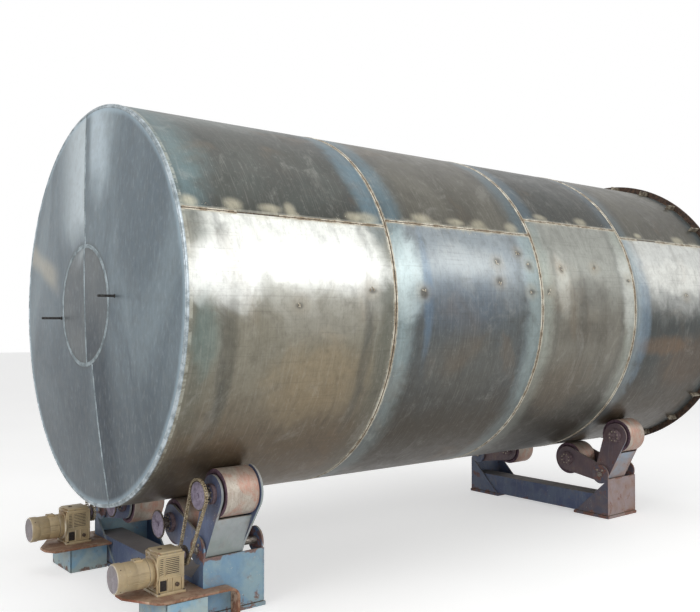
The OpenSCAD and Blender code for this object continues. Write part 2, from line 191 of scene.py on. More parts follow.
class Graph(Tree):
    """The node tree of one material."""

    def __init__(self, name: str) -> None:
        """Starts a material with a bare shader.

        Args:
            name: Name of the material.
        """
        self.material = bpy.data.materials.new(name)
        self.material.use_nodes = True
        super().__init__(self.material.node_tree)
        self.tree.nodes.clear()
        self.shader = self.node("ShaderNodeBsdfPrincipled")
        self.node("ShaderNodeOutputMaterial", {0: Value(self, self.shader.outputs[0])})
        self.place = self.get("ShaderNodeTexCoord", output="Object")

    def step(self, value: Value, low: float, high: float) -> Value:
        """Goes smoothly from 0 where a value is low to 1 where it is high."""
        fall = low > high
        return self.get("ShaderNodeMapRange", {
            "Value": value, "From Min": min(low, high), "From Max": max(low, high),
            "To Min": float(fall), "To Max": float(not fall)},
            "Result", interpolation_type="SMOOTHSTEP")

    def axes(self) -> tuple[Value, ...]:
        """Gives the three parts of the object's own place."""
        node = self.node("ShaderNodeSeparateXYZ", {0: self.place})
        return tuple(Value(self, part) for part in node.outputs)

    def facing(self, axis: int) -> Value:
        """Gives how far the surface faces along an axis, -1 to 1."""
        normal = self.get("ShaderNodeNewGeometry", output="Normal")
        return self.get("ShaderNodeSeparateXYZ", {0: normal}, axis)

    def noise(self, scale: float, detail: float = 3.0, stretch: Point = (1, 1, 1),
              seed: float = 0.0, rough: float = 0.55, warp: float = 0.0) -> Value:
        """Adds cloudy noise.

        Args:
            scale: Clouds to a metre.
            detail: How many finer layers it has.
            stretch: Scale along each axis.
            seed: How far the pattern is moved.
            rough: Strength of the finer layers.
            warp: How far it is distorted.

        Returns:
            The noise, about 0.3 to 0.7.
        """
        moved = self.get("ShaderNodeMapping", {
            "Vector": self.place, "Scale": stretch,
            "Location": (seed * 3.7, seed * 1.9, seed * 5.3)})
        return self.get("ShaderNodeTexNoise", {
            "Vector": moved, "Scale": scale, "Detail": detail, "Roughness": rough,
            "Distortion": warp}, "Fac")

    def mix(self, share: Value, a: object, b: object) -> Value:
        """Mixes two colours by the share of the second."""
        return self.get("ShaderNodeMix", {0: share, 6: a, 7: b}, 2, data_type="RGBA")

    def over(self, colour: Value, *layers: tuple[Value, float, float, float, str]) -> Value:
        """Lays tints over a colour.

        Args:
            colour: Colour below.
            layers: For each tint a value, where it gives none and where all, the largest share,
                and the tint.

        Returns:
            The new colour.
        """
        for value, low, high, share, tint in layers:
            colour = self.mix(self.step(value, low, high) * share, colour, tint)
        return colour

    def bump(self, height: Value, depth: float, below: Value | None = None) -> Value:
        """Adds relief.

        Args:
            height: Height, 0 to 1.
            depth: Metres from 0 to 1.
            below: Relief that this one lies on.

        Returns:
            The normal.
        """
        inputs = {"Strength": 1.0, "Distance": depth, "Height": height}
        if below:
            inputs["Normal"] = below
        return self.get("ShaderNodeBump", inputs)

    def finish(self, colour: Value, roughness: object, metallic: float,
               normal: Value | None = None) -> Material:
        """Feeds the shader.

        Args:
            colour: Base colour.
            roughness: Roughness.
            metallic: Share of metal.
            normal: Relief.

        Returns:
            The material.
        """
        for key, value in (("Base Color", colour), ("Roughness", roughness),
                           ("Metallic", metallic), ("Normal", normal)):
            if value is not None:
                self.feed(self.shader.inputs[key], value)
        return self.material


@dataclass(frozen=True)
class TankSizes:
    """Sizes of the tank, as in the part's source."""

    radius: float = 1.6
    axis: float = 2.3250366
    courses: tuple[float, ...] = (1.829, 1.829, 1.524, 1.829)
    seam_rise: tuple[float, ...] = (23.6, 25.6, 32.1, 28.7)
    upper_span: float = 142.0
    end_t: float = 0.012
    end_rise: float = 0.082
    disc: float = 0.475

    @cached_property
    def front(self) -> float:
        """Where the shell starts, read from the frame."""
        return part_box("shell_course_1")[0][0]

    @property
    def starts(self) -> tuple[float, ...]:
        """Where the courses start and the last one ends, from the front end of the shell."""
        return tuple(sum(self.courses[:i]) for i in range(5))

    def near_seam(self, course: int) -> float:
        """Arc from the top to the near long seam of a course, counted from 0."""
        return math.radians(90 - self.seam_rise[course]) * self.radius

    def far_seam(self, course: int) -> float:
        """Arc from the top to the far long seam, in metres towards the far side."""
        return math.radians(self.upper_span) * self.radius - self.near_seam(course)

    def dish(self, r: float) -> float:
        """Height of the end over the end of the shell.

        Args:
            r: Distance from the axis.

        Returns:
            The height.
        """
        edge = self.radius - self.end_t
        ball = (edge ** 2 + self.end_rise ** 2) / (2 * self.end_rise)
        return self.end_t + self.end_rise - ball + math.sqrt(ball ** 2 - r ** 2)


TANK = TankSizes()


class Finish:
    """Something that makes a material."""

    def material(self, name: str) -> Material:
        """Builds the material."""
        raise NotImplementedError


@dataclass(frozen=True)
class Stain:
    """A soft-edged patch on the shell: a burn, a smear or a painted highlight."""

    along: float
    around: float
    wide: float
    tall: float
    colour: str
    share: float = 0.7
    soft: float = 0.5


@dataclass(frozen=True)
class CourseSteel(Finish):
    """Rolled plate: painted highlight under its seam, scale and painted shade lower, tinted by
    welds.
    """

    course: int
    # Painted highlight just below the near seam.
    high: str
    body: str
    # Dark bottom: brown scale and painted shade.
    low: str
    upper: str
    upper_far: str
    band: str
    band_upper: str
    band_wide: float
    line: float
    stains: tuple[Stain, ...]

    def material(self, name: str) -> Material:
        """Builds the material of one course.

        Args:
            name: Name of the material.

        Returns:
            The material.
        """
        g = Graph(name)
        x, y, z = g.axes()
        seam, far = TANK.near_seam(self.course), TANK.far_seam(self.course)
        seed = self.course * 2.3 + 1
        along = x - (TANK.front + TANK.starts[self.course])
        around = g.math("ARCTAN2", y * -1.0, z - TANK.axis) * TANK.radius
        clouds = g.noise(1.4, 5, seed=seed, warp=0.6)
        wander = (g.noise(3.4, 5, seed=seed + 9, rough=0.62, warp=0.9) - 0.5) * 0.9
        mottle = g.noise(10.0, 5, seed=seed + 5, rough=0.7)
        depth = abs(around) + wander * 0.55
        # Painted highlight below the seam, fading into the body colour, then the dark bottom of
        # scale and painted shade.
        lower = g.mix(g.step(depth, 2.1, 2.72), self.high, self.body)
        lower = g.mix(g.step(depth, 2.85, 3.75), lower, self.low)
        upper = g.mix(g.step(clouds, 0.38, 0.62), self.upper, self.upper_far)
        is_upper = (g.step(around, seam + 0.004, seam - 0.004)
                    * g.step(around, -far - 0.004, -far + 0.004))
        colour = self._bands(g, g.mix(is_upper, lower, upper), along, depth, wander, is_upper)
        away = abs(abs(around + (far - seam) / 2) - (far + seam) / 2)
        burns = g.step(away + wander * 0.12, 0.06, 0.012) * g.step(
            g.noise(6.5, 3, (1, 0.4, 0.4), seed + 7), 0.5, 0.62)
        colour = g.mix(burns * 0.42, colour, "bab4a0")
        colour = g.over(colour, (away, 0.03, 0.024, 0.3, "bebcae"))
        bend = wander * 1.5
        # Stains include painted highlights: the near-white patches just below the near seams.
        for stain in self.stains:
            du, dv = (along - stain.along) / stain.wide, (around - stain.around) / stain.tall
            reach = g.math("SQRT", du * du + dv * dv) + bend
            colour = g.over(colour, (reach, 1 + stain.soft, 1 - stain.soft, stain.share,
                                     stain.colour))
        smudge = g.noise(2.6, 6, (1, 0.6, 0.6), seed + 11, 0.7, 1.4)
        grain = g.noise(26.0, 5, (1.3, 0.8, 0.8), seed + 17, 0.72)
        round_lines = g.noise(1.0, 2, (120, 4, 4), seed + 3, 0.5)
        long_lines = g.noise(1.0, 2, (2.0, 70, 70), seed + 13, 0.5)
        colour = g.over(
            colour, (smudge, 0.52, 0.68, 0.198, "34322e"),
            (smudge, 0.46, 0.32, 0.11, "d0d0c8"),
            (clouds, 0.56, 0.7, 0.15, "8c704e"),
            (mottle, 0.56, 0.36, 0.16, "3e3830"),
            (grain, 0.52, 0.68, 0.171, "3a3630"),
            (grain, 0.46, 0.32, 0.08, "bebeb6"),
            (round_lines, 0.54, 0.72, 0.063, "ceccc4"),
            (round_lines, 0.46, 0.3, 0.09, "3c3a36"),
            (long_lines, 0.57, 0.72, 0.126, "3c3934"))
        waves = g.bump(g.noise(1.7, 1, seed=seed + 4), 0.014)
        return g.finish(colour, mottle * 0.28 + 0.26, 0.62, g.bump(mottle, 0.0008, waves))

    def _bands(self, g: Graph, colour: Value, along: Value, depth: Value, wander: Value,
               is_upper: Value) -> Value:
        """Tints the plate beside the welds round the tank.

        Args:
            g: The material's tree.
            colour: Colour below.
            along: Place along the course.
            depth: Arc from the top, roughened.
            wander: Noise that bends the bands' edges.
            is_upper: Whether a point lies on the upper plate.

        Returns:
            The new colour.
        """
        wide = self.band_wide
        edge = g.math("MINIMUM", along, TANK.courses[self.course] - along)
        bent = edge + wander * (wide * 1.1)
        share = g.step(bent, wide * 1.25, wide * 0.3) * (g.step(depth, 3.9, 2.3) * 0.5 + 0.3)
        colour = g.mix(share, colour, g.mix(is_upper, self.band, self.band_upper))
        line = (g.step(bent, wide * 0.9, wide * 1.15) * g.step(bent, wide * 1.5, wide * 1.15)
                * g.step(depth, 3.9, 3.0))
        colour = g.mix(line * self.line, colour, "404444")
        grey = g.mix(is_upper, self.body, "3a3a36")
        colour = g.mix(g.step(edge, 0.075, 0.03) * 0.35, colour, grey)
        broken = g.step(g.noise(9.0, 4, (1, 2.2, 2.2), 31, 0.65), 0.4, 0.56)
        pale = g.step(edge, 0.034, 0.026) * (broken * 0.5 + 0.08)
        return g.mix(pale, colour, "babaae")


@dataclass(frozen=True)
class EndSteel(Finish):
    """Brushed end plate with painted highlights and shade by its seam, smears and a pale rim."""

    body: str
    pale: str
    seed: float
    lean: float = 0.164
    seam: float = -0.091

    def material(self, name: str) -> Material:
        """Builds the material of an end.

        Args:
            name: Name of the material.

        Returns:
            The material.
        """
        g = Graph(name)
        _, y, z = g.axes()
        up = z - TANK.axis
        out = g.math("SQRT", y * y + up * up)
        clouds = g.noise(1.2, 5, (1, 1, 0.5), self.seed, 0.6, 0.8)
        brush = g.noise(1.0, 5, (9, 34, 13), self.seed + 2, 0.68)
        fine = g.noise(1.0, 2, (9, 90, 12), self.seed + 4, 0.5)
        mottle = g.noise(12.0, 5, seed=self.seed + 6, rough=0.7)
        wander = (clouds - 0.5) * 0.8
        side = y - up * self.lean - self.seam
        bent, high = side + wander * 0.5, up + wander
        colour = g.mix(g.step(clouds, 0.36, 0.64), self.body, self.pale)
        # Painted highlight left of the seam, where the plates meet at a slight fold that the mesh
        # lacks.
        left = g.step(side, 0.0, 0.012) * g.step(bent, 0.75, 0.05) * g.step(high, 0.3, 0.75)
        colour = g.mix(left * 0.85, colour, "c8d3d8")
        # Painted highlight: a pale streak right of the upper seam.
        highlight_streak = (g.step(side, -0.05, -0.16) * g.step(bent, -0.55, -0.25)
                  * g.step(high, 0.75, 1.25))
        colour = g.mix(highlight_streak * 0.8, colour, "beccd4")
        # Darker towards the bottom.
        colour = g.over(colour, (high, 0.1, -1.1, 0.75, "485057"))
        # Painted shade right of the lower seam, from the same fold.
        shade = g.step(side, 0.0, -0.02) * g.step(bent, -0.42, -0.18) * g.step(up, 0.3, -0.5)
        colour = g.mix(shade * 0.85, colour, "323c46")
        smear = abs(up - (y * 0.33 + 0.01)) + wander * 0.2
        smear = g.step(y, 0.5, 0.85) * g.step(smear, 0.16, 0.02)
        colour = g.mix(smear * 0.5, colour, "c6bca8")
        colour = g.over(
            colour, (brush, 0.5, 0.76, 0.16, "c4ced2"),
            (brush, 0.48, 0.28, 0.156, "3a4248"),
            (mottle, 0.58, 0.36, 0.153, "54544e"),
            (fine, 0.55, 0.72, 0.06, "ced4d6"),
            (out + wander * 0.07, 1.525, 1.572, 0.55, "a8bcc8"),
            (abs(out - TANK.disc), 0.055, 0.012, 0.45, "545858"))
        waves = g.bump(g.noise(1.3, 1, seed=self.seed + 8), 0.016)
        return g.finish(colour, mottle * 0.25 + 0.32, 0.6, g.bump(brush, 0.001, waves))


@dataclass(frozen=True)
class WornPaint(Finish):
    """Dusty paint on plate, chipped, faded and rusty; faces along X take the side colours."""

    paint: str
    faded: str
    side: str = ""
    side_faded: str = ""
    rust: str = "8c5c44"
    rusty: float = 0.2
    foot: float = 0.12
    top: float = 9.0
    top_rust: float = 0.0
    dust: float = 0.5
    seed: float = 0.0

    def material(self, name: str) -> Material:
        """Builds the paint.

        Args:
            name: Name of the material.

        Returns:
            The material.
        """
        g = Graph(name)
        z = g.axes()[2]
        fade = g.step(g.noise(5.0, 4, seed=self.seed, warp=0.5), 0.36, 0.64)
        patches = g.noise(9.0, 5, seed=self.seed + 3, rough=0.65, warp=0.4)
        runs = g.noise(1.0, 4, (46, 46, 5), self.seed + 6, 0.6)
        specks = g.noise(85.0, 3, seed=self.seed + 9, rough=0.6)
        grime = g.noise(7.0, 5, seed=self.seed + 12, rough=0.7, warp=0.8)
        colour = g.mix(fade, self.paint, self.faded)
        # Faces along X take the side colours; on the drive brackets these are painted shade on
        # the side plates.
        if self.side:
            other = g.mix(fade, self.side, self.side_faded)
            colour = g.mix(g.step(abs(g.facing(0)), 0.55, 0.75), colour, other)
        colour = g.over(colour, (runs, 0.5, 0.75, 0.056, "e2e2de"),
                        (patches, 0.5, 0.3, 0.12, "302c2c"),
                        (grime, 0.52, 0.68, 0.266, "967e64"))
        low = g.step(z, self.foot, self.foot * 0.2) * 0.16
        high = g.step(z, self.top - 0.04, self.top) * self.top_rust
        rust = g.step(patches + (low + high), 0.74 - self.rusty, 0.84 - self.rusty)
        tones = g.mix(g.step(specks, 0.35, 0.65) * 0.55, self.rust, "422c22")
        colour = g.mix(rust * 0.8, colour, tones)
        chips = g.step(specks, 0.66, 0.7) * g.step(patches, 0.45, 0.6)
        colour = g.mix(chips * 0.7, colour, "cec8ba")
        dusty = g.step(g.facing(2), 0.25, 0.9) * self.dust
        colour = g.mix(dusty, colour, "968a76")
        film = g.bump(1.0 - rust, 0.0006)
        return g.finish(colour, g.math("MAXIMUM", rust, dusty) * 0.35 + 0.5, 0.0,
                        g.bump(specks, 0.0004, film))


@dataclass(frozen=True)
class BareSteel(Finish):
    """Bare metal in two tones with darker dirt: welds, bolts, bars, castings."""

    light: str
    dark: str
    grain: float
    metal: float = 0.7
    rough: float = 0.42
    stretch: Point = (1.0, 1.0, 1.0)

    def material(self, name: str) -> Material:
        """Builds the metal.

        Args:
            name: Name of the material.

        Returns:
            The material.
        """
        g = Graph(name)
        grain = g.noise(self.grain, 4, self.stretch, rough=0.65)
        clouds = g.noise(self.grain * 0.12, 4, self.stretch, 4.0, warp=0.5)
        colour = g.mix(g.step(grain, 0.36, 0.64), self.dark, self.light)
        colour = g.over(colour, (clouds, 0.6, 0.38, 0.3, self.dark))
        return g.finish(colour, clouds * 0.2 + self.rough, self.metal, g.bump(grain, 0.0004))


@dataclass(frozen=True)
class Tread(Finish):
    """Running face of a roller: grey steel scored round, with salmon rust on it."""

    seed: float

    def material(self, name: str) -> Material:
        """Builds the tread.

        Args:
            name: Name of the material.

        Returns:
            The material.
        """
        g = Graph(name)
        blobs = g.noise(4.2, 4, (1.6, 1, 1), self.seed, 0.55, 0.6)
        patches = g.noise(16.0, 5, (1.6, 1, 1), self.seed + 3, 0.7, 0.4)
        scores = g.noise(1.0, 4, (170, 6, 6), self.seed + 7, 0.7)
        specks = g.noise(120.0, 3, seed=self.seed + 5)
        colour = g.mix(g.step(patches, 0.36, 0.64), "a89c90", "bcb4a8")
        rust = g.mix(g.step(patches, 0.4, 0.6), "ba8674", "b09484")
        colour = g.mix(g.step(blobs, 0.4, 0.6) * 0.75, colour, rust)
        colour = g.over(colour, (patches, 0.62, 0.74, 0.5, "965c4a"),
                        (scores, 0.52, 0.72, 0.35, "d4cec4"),
                        (scores, 0.46, 0.3, 0.175, "543e36"),
                        (specks, 0.62, 0.7, 0.5, "684a3e"))
        return g.finish(colour, specks * 0.25 + 0.36, 0.45, g.bump(scores, 0.0005))


FINISHES: dict[str, Finish] = {
    "weld_bead": BareSteel("d6d1c2", "8c7e6a", 11),
    "weld_core": BareSteel("706454", "3a322c", 30, rough=0.55),
    "weld_end_bead": BareSteel("a8b4b9", "707a7e", 12),
    "weld_rim_bead": BareSteel("c2ccd2", "808a8e", 12, rough=0.36),
    "peg_bar": BareSteel("4a4846", "242221", 70, 0.4, 0.6),
    "ring_bar": BareSteel("5c4638", "342a24", 26, 0.15, 0.7),
    "clip_bar": BareSteel("b0a896", "5c5042", 22, 0.4, 0.5),
    "bolt_zinc": BareSteel("cec8ba", "887a64", 90),
    "bolt_dark": BareSteel("6e5c4e", "3a302a", 90, 0.3, 0.6),
    "shaft_steel": BareSteel("a8a29a", "60544c", 80, stretch=(0.3, 1, 1)),
    "sprocket_face": BareSteel("988ea0", "706678", 26, 0.3, 0.5),
    "sprocket_teeth": BareSteel("786c5c", "362e2a", 60, 0.4, 0.5),
    "chain_link": BareSteel("ccc0a4", "827258", 50, 0.45),
    "chain_pin": BareSteel("463a2e", "241e1b", 60, 0.3, 0.5),
    "drum_side": BareSteel("684e5c", "42303a", 22, 0.0, 0.62),
    "bearing_cap": BareSteel("7e6c70", "544448", 28, 0.0, 0.6),
    "bearing_cap_blue": BareSteel("686a82", "424054", 28, 0.0, 0.6),
    # Near-black painted shade for the gaps behind the gearbox's grille slats and its side panel.
    "dark_gap": BareSteel("342e2c", "1e1b1a", 60, 0.0, 0.8),
    # Its side colours are painted shade on the bracket's side plates.
    "drive_bracket_paint": WornPaint(
        "7698b2", "8ea8b2", "3e5070", "547092", rusty=0.11,
        foot=0.14, top=0.44, top_rust=0.2, seed=1),
    "idler_bracket_paint": WornPaint(
        "9c8c8c", "947a70", "565666", "6c5e62", "966858",
        0.16, 0.1, 0.44, 0.14, seed=4),
    "idler_bracket_far_paint": WornPaint("525e78", "626c80", rusty=0.15, foot=0.1,
                                         seed=29),
    "drive_rocker_paint": WornPaint(
        "a4aaac", "96a09e", "4a506a", "5c6a8a", rusty=0.08,
        foot=0.3, seed=7),
    "idler_rocker_paint": WornPaint(
        "92a0b0", "a08c86", "685456", "5c4e56", "824e44", 0.12,
        0.3, seed=9),
    "beam_paint": WornPaint("4a5676", "5c6880", rusty=0.1, foot=0.08, seed=17),
    "gearbox_paint": WornPaint(
        "c6b28c", "b0a080", "7e6442", "e0d8c4", rusty=0.1,
        foot=0.3, dust=0.25, seed=21),
    "motor_paint": WornPaint(
        "c0aa82", "a89676", "745e42", "d6ccb6", rusty=0.1,
        foot=0.3, dust=0.3, seed=23),
    "motor_end_paint": WornPaint("9e969c", "928c8e", rusty=0.06, foot=0.2,
                                 dust=0.2, seed=24),
    "shelf_paint": WornPaint(
        "96725c", "aa8e74", "92543e", "d6baa0", rusty=0.3,
        foot=0.05, dust=0.3, seed=25),
    "shelf_panel_paint": WornPaint("84acc4", "aabcbc", rusty=0.12, foot=0.06,
                                   seed=27),
    "front_plate_steel": EndSteel("647078", "7c8990", 1.0),
    "front_disc_steel": EndSteel("5c6368", "6c7173", 3.0, 0.079, -0.024),
    "rear_plate_steel": EndSteel("646f76", "7a8489", 5.0, 0.0, -0.09),
    "rear_disc_steel": EndSteel("60676b", "707476", 7.0, 0.0, -0.024),
    **{f"tread_{word}_{place}_{side}": Tread(3.0 * i) for i, (word, side, place) in enumerate(
        product(("drive", "idler"), ("near", "far"), ("outer", "inner")))},
}


@cache
def paint(name: str) -> Material:
    """Gives the material of that name, made when it is first asked for."""
    return FINISHES[name].material(name)


def dress(node: str, material: Material) -> None:
    """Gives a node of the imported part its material.

    Args:
        node: Name of the node.
        material: The material.
    """
    body = bpy.data.objects[node]
    if not body.material_slots:
        body.data.materials.append(material)
    for slot in body.material_slots:
        slot.material = material


def placed(name: str, data: bpy.types.ID) -> Piece:
    """Puts a mesh, a lamp or a camera in the scene as an object.

    Args:
        name: Name of the object.
        data: The mesh, lamp or camera.

    Returns:
        The object.
    """
    item = bpy.data.objects.new(name, data)
    bpy.context.scene.collection.objects.link(item)
    return item


class Shape:
    """Faces of one piece, gathered in the frame's metres."""

    def __init__(self) -> None:
        """Starts with no faces."""
        self.mesh = bmesh.new()

    def _keep(self, made: Iterable[bmesh.types.BMVert], edges: Sequence[bmesh.types.BMEdge],
              size: float, material: int) -> "Shape":
        """Rounds edges of a new form, and gives its faces their material.

        Args:
            made: Corners of the form.
            edges: Edges to round.
            size: Size of the rounding, or 0.
            material: Number of the material.

        Returns:
            The shape.
        """
        made = set(made)
        if size:
            cut = bmesh.ops.bevel(self.mesh, geom=edges, offset=size, segments=2, profile=0.5,
                                  affect="EDGES")
            made = {corner for corner in made if corner.is_valid} | {
                corner for face in cut["faces"] for corner in face.verts}
        for face in {face for corner in made for face in corner.link_faces}:
            face.material_index = material
        return self

    def block(self, low: Sequence[float], high: Sequence[float], edge: float = 0.0,
              material: int = 0) -> "Shape":
        """Adds a block.

        Args:
            low: Lowest corner.
            high: Highest corner.
            edge: Size of the rounding of its edges.
            material: Number of the material.

        Returns:
            The shape.
        """
        size = [b - a for a, b in zip(low, high)]
        middle = [(a + b) / 2 for a, b in zip(low, high)]
        made = bmesh.ops.create_cube(
            self.mesh, matrix=Matrix.Translation(middle) @ Matrix.Diagonal((*size, 1)))["verts"]
        edges = list(dict.fromkeys(e for corner in made for e in corner.link_edges))
        return self._keep(made, edges, edge, material)

    @staticmethod
    def _spot(axis: int, *parts: float) -> list[float]:
        """Orders a place that is given along an axis and then along the two that follow."""
        return [parts[(i - axis) % 3] for i in range(3)]

    def turned(self, centre: Sequence[float], profile: Sequence[Pair], axis: int = 0,
               steps: int = 48, material: int = 0, faces: Sequence[int] = ()) -> "Shape":
        """Adds a form turned on a lathe, closed where its profile meets the axis.

        Args:
            centre: A point on its axis.
            profile: Places along the axis from there, each with a radius.
            axis: 0, 1 or 2 for a lathe along X, Y or Z.
            steps: Corners round it.
            material: Number of the material.
            faces: A material for each stretch of the profile, where they differ.

        Returns:
            The shape.
        """
        rings = []
        for along, r in profile:
            ring = []
            for i in range(steps if r > 0 else 1):
                turn = math.tau * i / steps
                spot = self._spot(axis, along, r * math.cos(turn), r * math.sin(turn))
                ring.append(self.mesh.verts.new([a + b for a, b in zip(centre, spot)]))
            rings.append(ring)
        for n, (a, b) in enumerate(zip(rings, rings[1:])):
            for i in range(steps):
                j = (i + 1) % steps
                corners = list(dict.fromkeys((a[i % len(a)], a[j % len(a)], b[j % len(b)],
                                              b[i % len(b)])))
                if len(corners) > 2:
                    self.mesh.faces.new(corners).material_index = faces[n] if faces else material
        return self

    def prism(self, outline: Sequence[Pair], start: float, end: float, axis: int = 0,
              edge: float = 0.0, material: int = 0) -> "Shape":
        """Adds an outline drawn out along an axis.

        Args:
            outline: Corners in the two axes that follow, such as Y and Z.
            start: Where it starts along the axis.
            end: Where it ends.
            axis: 0, 1 or 2.
            edge: Rounding of the rims of both faces.
            material: Number of the material.

        Returns:
            The shape.
        """
        ends = [[self.mesh.verts.new(self._spot(axis, along, u, v)) for u, v in outline]
                for along in (start, end)]
        faces = [self.mesh.faces.new(ends[0][::-1]), self.mesh.faces.new(ends[1])]
        for i in range(len(outline)):
            j = (i + 1) % len(outline)
            self.mesh.faces.new([ends[0][i], ends[0][j], ends[1][j], ends[1][i]])
        rims = [e for face in faces for e in face.edges]
        return self._keep(ends[0] + ends[1], rims, edge, material)

    def join(self, other: "Shape", matrix: Matrix) -> None:
        """Takes in another shape.

        Args:
            other: The other shape, which is used up.
            matrix: How it is moved.
        """
        bmesh.ops.transform(other.mesh, matrix=matrix, verts=other.mesh.verts)
        part = bpy.data.meshes.new("part")
        other.mesh.to_mesh(part)
        other.mesh.free()
        self.mesh.from_mesh(part)
        bpy.data.meshes.remove(part)

    def on(self, side: Side) -> "Shape":
        """Gives the shape for one side, from one drawn near.

        Args:
            side: The side.

        Returns:
            The shape.
        """
        if side is Side.FAR:
            for corner in self.mesh.verts:
                corner.co.y = -corner.co.y
        return self

    def data(self, name: str) -> Mesh:
        """Gives the faces as a mesh, joined and turned outwards, and ends the shape.

        Args:
            name: Name of the mesh.

        Returns:
            The mesh.
        """
        bmesh.ops.remove_doubles(self.mesh, verts=self.mesh.verts, dist=1e-6)
        bmesh.ops.recalc_face_normals(self.mesh, faces=self.mesh.faces)
        data = bpy.data.meshes.new(name)
        self.mesh.to_mesh(data)
        self.mesh.free()
        return data

    def piece(self, name: str, body: str, slot: str, paints: Sequence[str],
              replaces: Sequence[str] = ()) -> Piece:
        """Turns the shape into a finished piece of the object.

        Args:
            name: Name of the piece.
            body: Body that it rides on.
            slot: Not used.
            paints: Names of its materials.
            replaces: Nodes that it stands for.

        Returns:
            The piece.
        """
        data = self.data(name)
        for word in paints:
            data.materials.append(paint(word))
        return settle(name, data, body, replaces)


def settle(name: str, data: Mesh, body: str, replaces: Sequence[str] = (),
           sharp: float = 38.0) -> Piece:
    """Puts a mesh in the scene as a finished piece.

    Args:
        name: Name of the piece.
        data: Its mesh.
        body: Body that it rides on.
        replaces: Nodes that it stands for.
        sharp: Angle from which an edge stays sharp, in degrees.

    Returns:
        The piece.
    """
    data.shade_smooth()
    data.set_sharp_from_angle(angle=math.radians(sharp))
    piece = placed(name, data)
    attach(piece, body)
    if replaces:
        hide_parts(*replaces)
    data.calc_loop_triangles()
    LOG.info("%s rides on %s: %d triangles", name, body, len(data.loop_triangles))
    return piece


class Rule(Tree):
    """A Geometry Nodes tree with named inputs, which is run on a mesh and baked."""

    def __init__(self, name: str, inputs: Sequence[tuple[str, str, object]]) -> None:
        """Starts the tree.

        Args:
            name: Name of the tree.
            inputs: Name, kind and default of each input.
        """
        tree = bpy.data.node_groups.new(name, "GeometryNodeTree")
        tree.is_modifier = True
        super().__init__(tree)
        face = tree.interface
        for label, kind, default in (("Geometry", "Geometry", None), *inputs,
                                     ("Seed", "Int", 0), ("Material", "Material", None)):
            made = face.new_socket(label, in_out="INPUT", socket_type=f"NodeSocket{kind}")
            if default is not None:
                made.default_value = default
        face.new_socket("Geometry", in_out="OUTPUT", socket_type="NodeSocketGeometry")
        self.keys = {item.name: item.identifier for item in face.items_tree
                     if item.in_out == "INPUT"}
        self.given = {entry.name: Value(self, entry)
                      for entry in self.node("NodeGroupInput").outputs if entry.name}

    def named(self, name: str) -> Value:
        """Gives an attribute of the points."""
        return self.get("GeometryNodeInputNamedAttribute", {"Name": name}, "Attribute",
                        data_type="FLOAT_VECTOR")

    def vector(self, operation: str, a: Value, b: Value) -> Value:
        """Adds a sum of two vectors, or of a vector and a number that scales it."""
        return self.get("ShaderNodeVectorMath",
                        {0: a, "Scale" if operation == "SCALE" else 1: b}, operation=operation)

    def random(self, seed: Value) -> Value:
        """Draws a number from -1 to 1 for each point."""
        return self.get("FunctionNodeRandomValue", {2: -1.0, 3: 1.0, "Seed": seed}, 1,
                        data_type="FLOAT")

    def close(self, geometry: Value) -> None:
        """Paints the result and ends the tree."""
        painted = self.get("GeometryNodeSetMaterial", {"Geometry": geometry,
                                                       "Material": self.given["Material"]})
        self.node("NodeGroupOutput", {0: painted})

    def bake(self, host: Mesh, **values: object) -> Mesh:
        """Runs the tree and gives a plain mesh.

        Args:
            host: Path or spots.
            values: What the inputs get.

        Returns:
            The mesh.
        """
        carrier = placed("carrier", host)
        rule = carrier.modifiers.new("rule", "NODES")
        rule.node_group = self.tree
        for label, value in values.items():
            rule[self.keys[label]] = value
        seen = carrier.evaluated_get(bpy.context.evaluated_depsgraph_get())
        baked = bpy.data.meshes.new_from_object(seen)
        carrier.modifiers.remove(rule)
        bpy.data.objects.remove(carrier)
        return baked


